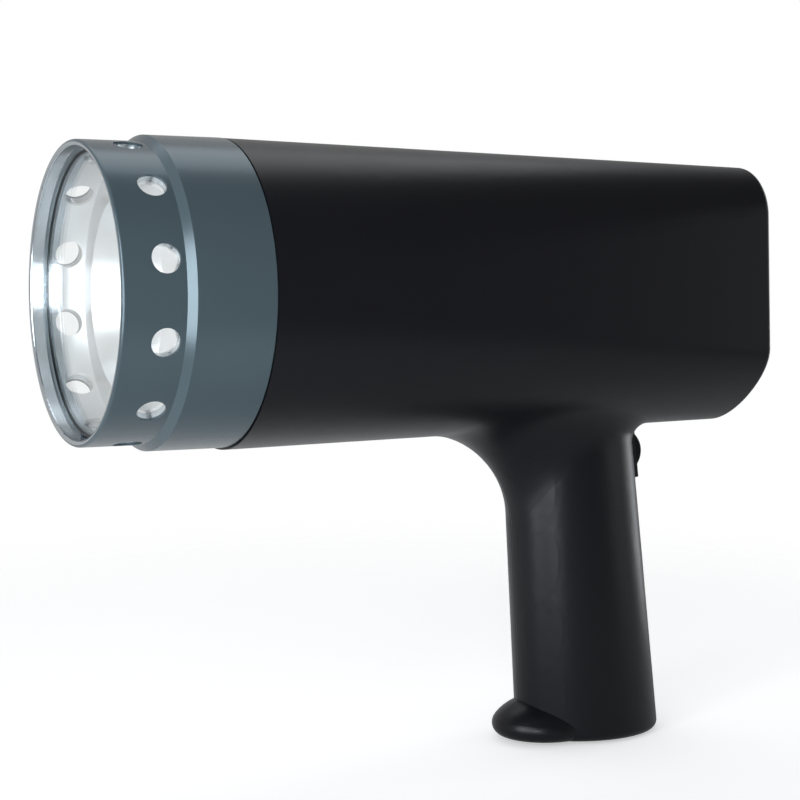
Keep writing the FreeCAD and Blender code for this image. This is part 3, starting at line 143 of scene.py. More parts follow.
def piece(name, points, faces, smooth=False):
    """A mesh object at the origin from an array of places and a list of faces."""
    mesh = bpy.data.meshes.new(name)
    mesh.from_pydata(np.asarray(points).tolist(), [], faces)
    mesh.update()
    if smooth:
        mesh.shade_smooth()
        mesh.set_sharp_from_angle(angle=CREASE)
    shown = bpy.data.objects.new(name, mesh)
    bpy.context.scene.collection.objects.link(shown)
    return shown


def wire(name, path, outward, radius, sides=8, closed=False):
    """A round wire along path: each point + radius (n cos t + b sin t), 0 <= t < 2 pi.

    n is the part of the outward direction that is square to the path, and b is square to both."""
    if closed:
        tangent = np.roll(path, -1, axis=0) - np.roll(path, 1, axis=0)
    else:
        tangent = np.gradient(path, axis=0)
    tangent /= np.linalg.norm(tangent, axis=1, keepdims=True)
    normal = outward - tangent * (outward * tangent).sum(1, keepdims=True)
    normal /= np.linalg.norm(normal, axis=1, keepdims=True)
    binormal = np.cross(tangent, normal)
    turn = full_turn(sides)[None, :, None]
    ring = normal[:, None] * np.cos(turn) + binormal[:, None] * np.sin(turn)
    return surface(name, path[:, None] + radius * ring, closed_u=closed, closed_v=True, caps=not closed)


BAR_FACES = np.array([(3, 2, 1, 0), (4, 5, 6, 7), (0, 1, 5, 4), (1, 2, 6, 5), (2, 3, 7, 6), (3, 0, 4, 7)])


def strokes(name, plane, lines, width, lift, depth=0.05 * MM):
    """Inked or moulded marks: each line (u0, v0, u1, v1) is a bar of that width, standing depth
    above the plane's height lift.  A bar's corners are its ends plus or minus half the width
    times the square direction."""
    lines = np.asarray(lines, float)
    start, end = lines[:, :2], lines[:, 2:]
    along = end - start
    along /= np.linalg.norm(along, axis=1, keepdims=True)
    side = np.stack([-along[:, 1], along[:, 0]], 1) * width / 2
    start, end = start - along * width / 2, end + along * width / 2
    flat = np.stack([start - side, end - side, end + side, start + side], 1)
    low = np.concatenate([flat, np.full(flat.shape[:2] + (1,), lift)], 2)
    high = low + (0, 0, depth)
    corners = np.concatenate([low, high], 1)
    faces = (np.arange(len(lines))[:, None, None] * 8 + BAR_FACES[None]).reshape(-1, 4)
    return piece(name, plane.world(corners.reshape(-1, 3)), faces.tolist())


# ---- shader nodes ----------------------------------------------------------------------------
MIX_A, MIX_B, MIXED = 6, 7, 2          # colour sockets of a Mix node: two inputs and its output
NOISE_LOW, NOISE_HIGH = 0.3, 0.7       # between these lie nearly all values of a noise texture
BRIGHT_WALL = "c6cdd2"                 # of the nose ring's inner wall


def add(tree, kind, settings=None, links=None):
    """One node with its settings, lower-case properties and then sockets, and its incoming links."""
    made = tree.nodes.new(kind)
    for name, value in (settings or {}).items():
        if isinstance(name, str) and name.islower():
            setattr(made, name, value)
        else:
            made.inputs[name].default_value = value
    for name, source in (links or {}).items():
        tree.links.new(source, made.inputs[name])
    return made


def start_material(name, settings):
    """A material with a Principled shader that has plain settings on its own sockets."""
    material = bpy.data.materials.new(name)
    material.use_nodes = True
    tree = material.node_tree
    tree.nodes.clear()
    shader = add(tree, "ShaderNodeBsdfPrincipled", settings)
    add(tree, "ShaderNodeOutputMaterial", links={"Surface": shader.outputs["BSDF"]})
    place = add(tree, "ShaderNodeTexCoord").outputs["Object"]
    return material, tree, shader, place


def relief(tree, shader, height, depth, before=None):
    """Bump the shader by a height, and pass on an earlier bump."""
    links = {"Height": height}
    if before:
        links["Normal"] = before
    bump = add(tree, "ShaderNodeBump", {"Distance": depth}, links)
    tree.links.new(bump.outputs["Normal"], shader.inputs["Normal"])
    return bump.outputs["Normal"]


def drift(tree, shader, socket, place, size, low, high):
    """Let a socket wander between two values over patches of the given size."""
    noise = add(tree, "ShaderNodeTexNoise", {"Scale": 1 / size, "Detail": 3.0}, {"Vector": place})
    if socket == "Base Color":
        result = add(tree, "ShaderNodeMix", {"data_type": "RGBA", MIX_A: low, MIX_B: high},
                     {0: noise.outputs["Fac"]}).outputs[MIXED]
    else:
        spread = {"From Min": NOISE_LOW, "From Max": NOISE_HIGH, "To Min": low, "To Max": high}
        result = add(tree, "ShaderNodeMapRange", spread, {"Value": noise.outputs["Fac"]}).outputs["Result"]
    tree.links.new(result, shader.inputs[socket])


def tinted(colour, factor):
    """A colour made lighter or darker, and opaque."""
    return tuple(channel * factor for channel in colour[:3]) + (1.0,)


def moulded_abs(name, colour, grain=0.35 * MM, roughness=0.42, depth=0.012 * MM):
    """ABS from a spark-eroded mould: a fine even grain that breaks up the gloss.

    The real grain is about 0.1 mm; it is drawn as coarse as given so that it can be seen.  The
    material comes with its tree, shader, place and bump, for finishes that build on it."""
    material, tree, shader, place = start_material(name, {"Roughness": roughness, "IOR": 1.5,
                                                          "Specular IOR Level": 0.3})
    drift(tree, shader, "Base Color", place, 40 * MM, tinted(colour, 0.9), tinted(colour, 1.12))
    drift(tree, shader, "Roughness", place, 14 * MM, roughness - 0.01, roughness + 0.015)
    grit = add(tree, "ShaderNodeTexNoise", {"Scale": 1 / grain, "Detail": 2.0}, {"Vector": place})
    return material, tree, shader, place, relief(tree, shader, grit.outputs["Fac"], depth)


def clamshell_abs(name, colour, groove_half=0.3 * MM, groove_depth=0.15 * MM):
    """The same ABS on the two housing halves, with the hairline where they meet at y = 0."""
    material, tree, shader, place, grain = moulded_abs(name, colour, roughness=0.34)
    parts = add(tree, "ShaderNodeSeparateXYZ", links={"Vector": place})
    off = add(tree, "ShaderNodeMath", {"operation": "ABSOLUTE"}, {0: parts.outputs["Y"]})
    groove = add(tree, "ShaderNodeMapRange", {"From Min": 0.05 * MM, "From Max": groove_half},
                 {"Value": off.outputs["Value"]})
    relief(tree, shader, groove.outputs["Result"], groove_depth, grain)
    return material


def stoved_enamel(name, colour, cloud_size=30 * MM, peel_size=0.8 * MM, peel_depth=0.008 * MM):
    """Metallic stoving enamel on turned aluminium: satin outside with a faint orange peel.

    The mouth's inner wall, within RING_GLOSS_RADIUS of the lamp's axis, is turned bright and only
    lacquered, so it mirrors the lit reflector."""
    material, tree, shader, place = start_material(name, {"IOR": 1.5, "Specular IOR Level": 0.45})
    parts = add(tree, "ShaderNodeSeparateXYZ", links={"Vector": place})
    across = add(tree, "ShaderNodeCombineXYZ", links={"Y": parts.outputs["Y"], "Z": parts.outputs["Z"]})
    reach = add(tree, "ShaderNodeVectorMath", {"operation": "DISTANCE", 1: (0.0, 0.0, LAMP_AXIS_Z)},
                {0: across.outputs["Vector"]})
    edge = {"From Min": RING_GLOSS_RADIUS - 0.3 * MM, "From Max": RING_GLOSS_RADIUS}
    bands = {}
    for socket, inside, outside in (
            ("Metallic", 0.95, 0.35), ("Roughness", 0.2, 0.26), ("Bright", 1.0, 0.0)):
        band = add(tree, "ShaderNodeMapRange", {**edge, "To Min": inside, "To Max": outside},
                   {"Value": reach.outputs["Value"]})
        bands[socket] = band.outputs["Result"]
    for socket in ("Metallic", "Roughness"):
        tree.links.new(bands[socket], shader.inputs[socket])
    cloud = add(tree, "ShaderNodeTexNoise", {"Scale": 1 / cloud_size, "Detail": 3.0}, {"Vector": place})
    tints = {"data_type": "RGBA", MIX_A: tinted(colour, 0.94), MIX_B: tinted(colour, 1.06)}
    paint = add(tree, "ShaderNodeMix", tints, {0: cloud.outputs["Fac"]})
    whole = add(tree, "ShaderNodeMix", {"data_type": "RGBA", MIX_B: linear(BRIGHT_WALL)},
                {0: bands["Bright"], MIX_A: paint.outputs[MIXED]})
    tree.links.new(whole.outputs[MIXED], shader.inputs["Base Color"])
    peel = add(tree, "ShaderNodeTexNoise", {"Scale": 1 / peel_size, "Detail": 1.0}, {"Vector": place})
    relief(tree, shader, peel.outputs["Fac"], peel_depth)
    return material


def band_scale(step):
    """Scale of a wave texture whose bands lie 2 pi steps apart: its sine runs over 20 times the place."""
    return 1 / (20 * step)


def turned_metal(name, colour, roughness, ring_step=0.25 * MM, depth=0.004 * MM):
    """Metal off a lathe: fine tool rings across X and a satin sheen.

    Real rings lie about 0.1 mm apart; these lie 2 pi ring steps apart, 1.6 mm, so that they show."""
    material, tree, shader, place = start_material(name, {"Metallic": 1.0, "Roughness": roughness})
    drift(tree, shader, "Base Color", place, 12 * MM, tinted(colour, 0.93), tinted(colour, 1.0))
    drift(tree, shader, "Roughness", place, 6 * MM, roughness - 0.04, roughness + 0.05)
    rings = add(tree, "ShaderNodeTexWave",
                {"Scale": band_scale(ring_step), "Distortion": 0.6, "bands_direction": "X"},
                {"Vector": place})
    relief(tree, shader, rings.outputs["Fac"], depth)
    return material


def pressed_reflector(name, colour, grain=0.4 * MM, depth=0.004 * MM):
    """Pressed and satin-anodised aluminium: bright, faintly clouded, soft reflections.

    The real etch is finer than 0.1 mm; it is drawn as coarse as given so that it shows."""
    material, tree, shader, place = start_material(name, {"Metallic": 1.0, "Roughness": 0.28})
    drift(tree, shader, "Base Color", place, 10 * MM, tinted(colour, 0.96), tinted(colour, 1.0))
    drift(tree, shader, "Roughness", place, 12 * MM, 0.3, 0.36)
    etch = add(tree, "ShaderNodeTexNoise", {"Scale": 1 / grain, "Detail": 1.0}, {"Vector": place})
    relief(tree, shader, etch.outputs["Fac"], depth)
    return material


def clear_glass(name, colour, roughness=0.0, index=1.5, wave=25 * MM, depth=0.004 * MM):
    """Float or quartz glass, or cast acrylic: clear, glossy, with a trace of tint and of unevenness."""
    material, tree, shader, place = start_material(
        name, {"Base Color": colour, "Roughness": roughness, "IOR": index, "Transmission Weight": 1.0})
    film = add(tree, "ShaderNodeTexNoise", {"Scale": 1 / wave, "Detail": 2.0}, {"Vector": place})
    relief(tree, shader, film.outputs["Fac"], depth)
    return material


def satin_moulding(name, colour):
    """Plastic or ceramic from a fine-sparked mould: even and nearly matt."""
    return moulded_abs(name, colour, grain=0.3 * MM, roughness=0.5, depth=0.01 * MM)[0]


def glossy_moulding(name, colour):
    """Glass-filled nylon from a polished mould: tight highlights, hardly any grain."""
    return moulded_abs(name, colour, grain=0.6 * MM, roughness=0.22, depth=0.003 * MM)[0]


def moulded_rubber(name, colour, grain=0.25 * MM, depth=0.01 * MM):
    """Silicone rubber: matt, slightly dusty, with a soft edge sheen.

    The real nap is finer than 0.1 mm; it is drawn as coarse as given so that it shows."""
    material, tree, shader, place = start_material(
        name, {"Roughness": 0.7, "IOR": 1.41, "Sheen Weight": 0.08})
    drift(tree, shader, "Base Color", place, 5 * MM, tinted(colour, 0.92), tinted(colour, 1.06))
    nap = add(tree, "ShaderNodeTexNoise", {"Scale": 1 / grain, "Detail": 2.0}, {"Vector": place})
    relief(tree, shader, nap.outputs["Fac"], depth)
    return material


def woven_laminate(name, colour, weave=0.6 * MM, depth=0.01 * MM):
    """Glass-epoxy board: the weave of the cloth shows through the solder mask, 0.6 mm apart."""
    material, tree, shader, place = start_material(name, {"Roughness": 0.35, "IOR": 1.55})
    drift(tree, shader, "Base Color", place, 8 * MM, tinted(colour, 0.85), tinted(colour, 1.1))
    warp = add(tree, "ShaderNodeTexChecker", {"Scale": 1 / weave}, {"Vector": place})
    relief(tree, shader, warp.outputs["Fac"], depth)
    return material


def wound_wire(name, colour, turn_step=0.4 * MM, depth=0.08 * MM):
    """Enamelled wire under varnish: ridge beside ridge, glossy.

    Real turns lie about 0.4 mm apart; these lie 2 pi turn steps apart, 2.5 mm, so that they show."""
    material, tree, shader, place = start_material(
        name, {"Roughness": 0.3, "IOR": 1.55, "Coat Weight": 0.6})
    drift(tree, shader, "Base Color", place, 3 * MM, tinted(colour, 0.8), tinted(colour, 1.15))
    turns = add(tree, "ShaderNodeTexWave", {"Scale": band_scale(turn_step), "bands_direction": "X"},
                {"Vector": place})
    relief(tree, shader, turns.outputs["Fac"], depth)
    return material


def printed_ink(name, colour):
    """Pad-printed ink: flat, matt, its tone a little uneven over small patches."""
    material, tree, shader, place = start_material(name, {"Roughness": 0.6, "IOR": 1.5})
    drift(tree, shader, "Base Color", place, 1.5 * MM, tinted(colour, 0.9), tinted(colour, 1.0))
    return material


# The finish of each material slot of the CAD nodes, and of the pieces that are added here.
MAKERS = {
    "housing_plastic": clamshell_abs,
    "screw_steel": lambda name, colour: turned_metal(name, colour, roughness=0.42),
    "ring_enamel": stoved_enamel,
    "spring_steel": lambda name, colour: turned_metal(name, colour, roughness=0.3),
    "lens_clear": clear_glass,
    "seal_rubber": moulded_rubber,
    "reflector_aluminium": pressed_reflector,
    "spacer_plastic": satin_moulding,
    "tube_glass": lambda name, colour: clear_glass(name, colour, roughness=0.02, index=1.46),
    "lamp_ceramic": satin_moulding,
    "board_laminate": woven_laminate,
    "coil_winding": wound_wire,
    "capacitor_film": glossy_moulding,
    "ferrite": satin_moulding,
    "battery_sleeve": glossy_moulding,
    "bush_brass": lambda name, colour: turned_metal(name, colour, roughness=0.28),
    "socket_plastic": glossy_moulding,
    "switch_plastic": satin_moulding,
    "rocker_plastic": glossy_moulding,
    "panel_plastic": satin_moulding,
    "window_clear": lambda name, colour: clear_glass(name, colour, index=1.49),
    "lcd_glass": glossy_moulding,
    "encoder_metal": lambda name, colour: turned_metal(name, colour, roughness=0.35),
    "nut_plated": lambda name, colour: turned_metal(name, colour, roughness=0.18),
    "knob_plastic": satin_moulding,
    "key_rubber": moulded_rubber,
}
EXTRA = {
    "white_ink": printed_ink,
    "lcd_ink": printed_ink,
    "nickel_wire": lambda name, colour: turned_metal(name, colour, roughness=0.25),
}
COLOURS = {
    "housing_plastic": "101015", "screw_steel": "2c2d30", "ring_enamel": "536269",
    "spring_steel": "8f9aa0", "lens_clear": "fbfefe", "seal_rubber": "69747a",
    "reflector_aluminium": "f1f2f3", "spacer_plastic": "66676a", "tube_glass": "fcfeff",
    "lamp_ceramic": "ebe8e0", "board_laminate": "1d5a33", "coil_winding": "6e3518",
    "capacitor_film": "26324f", "ferrite": "2a2a2b", "battery_sleeve": "1f4c86",
    "bush_brass": "d8bd7c", "socket_plastic": "141416", "switch_plastic": "16171a",
    "rocker_plastic": "121315", "panel_plastic": "2b2e30", "window_clear": "f4f8f7",
    "lcd_glass": "a9b4a2", "encoder_metal": "b4b4b6", "nut_plated": "d6d6d8",
    "knob_plastic": "1a1b1d", "key_rubber": "676e72",
    "white_ink": "e6e7e6", "lcd_ink": "22271f", "nickel_wire": "c9c4b8",
}


# ---- settings that a user would change -------------------------------------------------------
class StrobeColours(bpy.types.PropertyGroup):
    """One colour for each material."""


for slot_name, hex_value in COLOURS.items():
    StrobeColours.__annotations__[slot_name] = FloatVectorProperty(
        name=slot_name.replace("_", " ").capitalize(), description="Colour of this material",
        subtype="COLOR", size=4, min=0.0, max=1.0, default=linear(hex_value))


class StrobeFittings(bpy.types.PropertyGroup):
    """Sizes of the fine fittings."""
    winding_pitch: FloatProperty(
        name="Winding pitch", description="Between turns of the trigger wire",
        default=3.2 * MM, min=0.5 * MM, subtype="DISTANCE", unit="LENGTH")
    winding_radius: FloatProperty(
        name="Winding wire radius", description="Radius of the trigger wire",
        default=0.18 * MM, min=0.05 * MM, subtype="DISTANCE", unit="LENGTH")
    thread_pitch: FloatProperty(
        name="Thread pitch", description="Pitch of the tripod thread",
        default=1.27 * MM, min=0.5 * MM, subtype="DISTANCE", unit="LENGTH")
    digit_height: FloatProperty(
        name="Digit height", description="Height of the display's digits",
        default=11.0 * MM, min=4 * MM, subtype="DISTANCE", unit="LENGTH")
    shown_number: IntProperty(
        name="Shown number", description="Flashes a minute on the display",
        default=1200, min=0, max=9999)
    mark_width: FloatProperty(
        name="Mark width", description="Stroke of the printed marks",
        default=0.45 * MM, min=0.1 * MM, subtype="DISTANCE", unit="LENGTH")
    scale_ticks: IntProperty(
        name="Scale ticks", description="Ticks of the scale round the rate knob",
        default=21, min=3, max=61)


class StrobeStudio(bpy.types.PropertyGroup):
    """Camera and lamps."""
    focal_length: FloatProperty(
        name="Focal length", description="Lens of the camera, in millimetres",
        default=80.96, min=20.0, unit="CAMERA")
    top_power: FloatProperty(
        name="Top lamp", description="Softbox above", default=1.5, min=0.0, unit="POWER")
    front_power: FloatProperty(
        name="Front strip", description="Strip lamp ahead of the lens",
        default=3.8, min=0.0, unit="POWER")
    cheek_power: FloatProperty(
        name="Cheek panel", description="Panel that lights the grip's front flank",
        default=2.9, min=0.0, unit="POWER")
    grip_power: FloatProperty(
        name="Grip strip", description="Narrow strip that draws a line down the grip",
        default=2.0, min=0.0, unit="POWER")
    flank_power: FloatProperty(
        name="Flank panel", description="Faint panel that grades the barrel's flank",
        default=0.5, min=0.0, unit="POWER")
    rear_power: FloatProperty(
        name="Rear lamp", description="Strip lamp behind the grip", default=2.0, min=0.0, unit="POWER")
    fill: FloatProperty(
        name="Fill", description="Strength of the room's even light", default=0.12, min=0.0)
    floor_radius: FloatProperty(
        name="Floor radius", description="Where the floor has faded into the backdrop",
        default=0.6, min=0.2, subtype="DISTANCE", unit="LENGTH")
    floor_glow: FloatProperty(
        name="Floor glow", description="Light of the white room on the floor",
        default=0.71, min=0.0, max=1.0)
    dim: FloatProperty(
        name="Dim side", description="Brightness of the room on the camera's side",
        default=0.15, min=0.0, max=1.0)


def settings():
    """The three groups of settings: colours, fittings and studio."""
    scene = bpy.context.scene
    return scene.strobe_colours, scene.strobe_fittings, scene.strobe_studio


def material(name):
    """The finished material of a slot, made once; the frame's own one of that name is renamed."""
    if name not in bpy.data.materials or not bpy.data.materials[name].get("strobe"):
        if name in bpy.data.materials:
            bpy.data.materials[name].name = name + ".frame"
        maker = {**MAKERS, **EXTRA}[name]
        made = maker(name, tuple(getattr(settings()[0], name)))
        made["strobe"] = True
    return bpy.data.materials[name]


def finish_piece(shown, material_name, body):
    """Give a new piece its material and let it move with its body."""
    shown.data.materials.append(material(material_name))
    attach(shown, body)


# ---- operators -------------------------------------------------------------------------------
class STROBE_OT_finishes(bpy.types.Operator):
    """Give every CAD node the material of its slot"""
    bl_idname = "strobe.finishes"
    bl_label = "Finish all nodes"

    def execute(self, context):
        for name, slot in SLOTS.items():
            mesh = frame["nodes"][name].data
            mesh.materials.clear()
            mesh.materials.append(material(slot))
        return {"FINISHED"}


class STROBE_OT_trigger_winding(bpy.types.Operator):
    """Wind the trigger wire round both legs and the bend of the flash tube"""
    bl_idname = "strobe.trigger_winding"
    bl_label = "Trigger winding"

    def execute(self, context):
        """Helix at the angle 2 pi s / pitch round a path that runs s along one leg, a half circle
        and the other leg."""
        sizes = settings()[1]
        low, high = (np.array(corner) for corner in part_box("flash_tube"))
        tube = (high[2] - low[2]) / 2
        leg = high[1] - tube
        bend_x, foot_x = low[0] + tube + leg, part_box("lamp_base")[0][0]
        straight, arc = foot_x - bend_x, math.pi * leg
        length, end = 2 * straight + arc, 0.5 * MM
        s = np.linspace(end, length - end, 1400)
        angle = np.clip((s - straight) / leg, 0, math.pi)
        round_bend = bend_x - leg * np.sin(angle)
        past_bend = np.where(s > straight + arc, bend_x + s - straight - arc, round_bend)
        x = np.where(s < straight, foot_x - s, past_bend)
        y = -leg * np.cos(angle)
        outward = np.stack([-np.sin(angle), -np.cos(angle), np.zeros_like(s)], 1)
        turn = 2 * math.pi * s / sizes.winding_pitch
        reach = tube + sizes.winding_radius
        middle = np.stack([x, y, np.full_like(s, (low[2] + high[2]) / 2)], 1)
        around = outward * np.cos(turn)[:, None] + np.array([0, 0, 1]) * np.sin(turn)[:, None]
        winding = wire("trigger_winding", middle + reach * around, around, sizes.winding_radius, sides=6)
        finish_piece(winding, "nickel_wire", "housing")
        return {"FINISHED"}


class STROBE_OT_bush_thread(bpy.types.Operator):
    """Cut the thread that shows in the mouth of the tripod bush"""
    bl_idname = "strobe.bush_thread"
    bl_label = "Tripod thread"

    def execute(self, context):
        """Ridge at radius r - h (1 - 2 |p|): p runs over one pitch and slides along with the turn."""
        pitch = settings()[1].thread_pitch
        dims = MOUNTS["tripod_bush"]["dims"]
        radius, depth = dims["r_mm"] * MM, dims["length_mm"] * MM
        height, clear, end = 0.3 * MM, 0.02 * MM, 0.2 * MM
        turn = full_turn(48)
        along = np.linspace(end, depth - end, 96)
        phase = (along[:, None] / pitch + turn[None] / (2 * math.pi)) % 1.0
        reach = radius - clear - height * (1 - 2 * np.abs(phase - 0.5))
        sunk = np.broadcast_to(-along[:, None], reach.shape)
        points = np.stack([reach * np.cos(turn), reach * np.sin(turn), sunk], -1)
        thread = surface("bush_thread", FOOT.world(points), closed_v=True)
        finish_piece(thread, "bush_brass", "housing")
        return {"FINISHED"}


# Each bar of a digit from (column, row) to (column, row), and the bars that each digit lights.
SEGMENTS = {"a": (0, 2, 1, 2), "b": (1, 1, 1, 2), "c": (1, 0, 1, 1), "d": (0, 0, 1, 0),
            "e": (0, 0, 0, 1), "f": (0, 1, 0, 2), "g": (0, 1, 1, 1)}
DIGITS = ("abcdef", "bc", "abged", "abgcd", "fgbc", "afgcd", "afgedc", "abc", "abcdefg", "abcdfg")
# Shares of a digit's height.
DIGIT_WIDTH, DIGIT_STEP, DIGIT_GAP, DIGIT_STROKE = 0.5, 0.82, 0.07, 0.1


def digit_lines(digit, corner, width, height, gap):
    """Bars of a seven-segment digit: a bar's end lies at the lower left corner plus (column times
    width, row times half the height), less a gap along the bar."""
    scale = np.array([width, height / 2] * 2)
    bars = np.array([SEGMENTS[letter] for letter in DIGITS[digit]], float) * scale
    bars += np.array(list(corner) * 2)
    along = np.sign(bars[:, 2:] - bars[:, :2]) * gap
    bars[:, :2] += along
    bars[:, 2:] -= along
    return bars


class STROBE_OT_display_digits(bpy.types.Operator):
    """Show a number on the liquid-crystal display"""
    bl_idname = "strobe.display_digits"
    bl_label = "Display digits"

    def execute(self, context):
        """Digit i stands i steps to the right of the first one; all are centred in the window."""
        sizes = settings()[1]
        surface_height = REAR.box("display_module")[1][2]
        window_low, window_high = REAR.box("display_window")
        middle = (window_low + window_high) / 2
        height = sizes.digit_height
        width, step, gap = height * DIGIT_WIDTH, height * DIGIT_STEP, height * DIGIT_GAP
        text = [int(letter) for letter in f"{sizes.shown_number:04d}"]
        left = middle[0] - step * (len(text) - 1) / 2 - width / 2
        bars = [digit_lines(digit, (left + step * place, middle[1] - height / 2), width, height, gap)
                for place, digit in enumerate(text)]
        film = 0.03 * MM
        marks = strokes("display_digits", REAR, np.vstack(bars), height * DIGIT_STROKE, surface_height,
                        film)
        finish_piece(marks, "lcd_ink", "housing")
        return {"FINISHED"}


def figure_two(centre, size):
    """The five strokes of a figure 2, twice as high as it is wide."""
    u, v = centre
    left, right, top, foot = u - size, u + size, v + size * 2, v - size * 2
    return [(left, top, right, top), (right, top, right, v), (right, v, left, v), (left, v, left, foot),
            (left, foot, right, foot)]


def key_signs(u, v):
    """Strokes of the four signs round the middle (u, v) of a key's cap."""
    arm, slant, reach, dot, figure = 1.0 * MM, 0.7 * MM, 1.6 * MM, 0.05 * MM, 0.8 * MM
    left, right = u - 1.5 * MM, u + 1.4 * MM
    two = figure_two((right, v), figure)
    bar = (u - reach, v, u + reach, v)
    return {
        "key_halve": [(left - arm, v, left + arm, v), (left, v + arm, left, v + arm + dot),
                      (left, v - arm, left, v - arm - dot)] + two,
        "key_double": [(left - slant, v - slant, left + slant, v + slant),
                       (left - slant, v + slant, left + slant, v - slant)] + two,
        "key_minus": [bar],
        "key_plus": [bar, (u, v - reach, u, v + reach)],
    }


class STROBE_OT_key_marks(bpy.types.Operator):
    """Print the sign of each key on its cap: halve, double, minus and plus"""
    bl_idname = "strobe.key_marks"
    bl_label = "Key marks"

    def execute(self, context):
        """A sign lies on the top of its key, round the middle of the key's sides."""
        width = settings()[1].mark_width
        for name in ("key_halve", "key_double", "key_minus", "key_plus"):
            low, high = REAR.box(name)
            u, v = (low[:2] + high[:2]) / 2
            sign = strokes(name + "_mark", REAR, key_signs(u, v)[name], width, high[2])
            finish_piece(sign, "white_ink", name)
        return {"FINISHED"}


class STROBE_OT_rate_scale(bpy.types.Operator):
    """Print the tick scale round the rate knob, with ticks that grow clockwise"""
    bl_idname = "strobe.rate_scale"
    bl_label = "Rate scale"

    def execute(self, context):
        """Tick i stands at the turn t of the knob's axis, from (R + gap) to (R + gap + length i)."""
        count = settings()[1].scale_ticks
        low, high = REAR.box("rate_knob")
        sweep = 135                          # degrees to either side of the top
        shortest, longest = 0.7, 1.9         # millimetres
        gap, stroke, film = 0.8 * MM, 0.35 * MM, 0.02 * MM
        turn = np.radians(np.linspace(-sweep, sweep, count))
        inner = (high[0] - low[0]) / 2 + gap
        outer = inner + np.linspace(shortest, longest, count) * MM
        direction = np.stack([np.sin(turn), np.cos(turn)], 1)
        ticks = np.hstack([direction * inner, direction * outer[:, None]])
        scale = strokes("rate_scale", REAR, ticks, stroke, 0.0, film)
        finish_piece(scale, "white_ink", "housing")
        return {"FINISHED"}


class STROBE_OT_rocker_marks(bpy.types.Operator):
    """Raise the I and O marks at the two ends of the power rocker"""
    bl_idname = "strobe.rocker_marks"
    bl_label = "Rocker marks"

    def execute(self, context):
        """A mark's point (y, s) lies at the angle a + s / R round the pivot, on the paddle's radius R."""
        pivot = np.array(JOINTS["power_rocker_tip"]["pos_m"])
        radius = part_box("power_rocker")[1][0] - pivot[0]
        half, ridge = 0.9 * MM, 0.16 * MM
        t = full_turn(24)
        bar = (np.zeros(6), np.linspace(-half, half, 6))
        ring = (half * np.cos(t), half * np.sin(t))
        for name, degrees, (across, along), closed in (
                ("rocker_on_mark", ROCKER_MARK_ANGLE, bar, False),
                ("rocker_off_mark", -ROCKER_MARK_ANGLE, ring, True)):
            angle = math.radians(degrees + ROCKER_REST_ANGLE) + along / radius
            outward = np.stack([np.cos(angle), np.zeros_like(angle), np.sin(angle)], 1)
            path = pivot + outward * radius + across[:, None] * np.array([0, 1, 0])
            mark = wire(name, path, outward, ridge, closed=closed)
            finish_piece(mark, "white_ink", "power_rocker")
        return {"FINISHED"}


# ---- studio ----------------------------------------------------------------------------------
WHITE = (1.0, 1.0, 1.0, 1.0)
LAMP_COLOUR = (0.92, 0.96, 1.0)
FLOOR_COLOUR = "d8d8d8"
FLOOR_GAP = 0.2 * MM                    # under the foot
FLOOR_BRIGHT_WAY = (-0.5, 0.87, 0.0)    # the side of the floor that glossy pieces see brightest
COVER_REACH = 60 * MM                   # how far above the floor a piece still casts its painted shadow
PAINTED_SHADOW_GLOW = 0.45                     # glow of the floor right under a piece, where its painted shadow is darkest
ROOM_BRIGHT_WAY = (-0.42, 0.87, 0.24)   # towards the brightest part of the room
ROOM_BRIGHTNESS = 0.55
CAMERA_PLACE = (-0.35145, -0.52178, 0.17769)
CAMERA_AIM = (-0.07628, 0.0, 0.11964)
CAMERA_TILT = 0.97                      # degrees


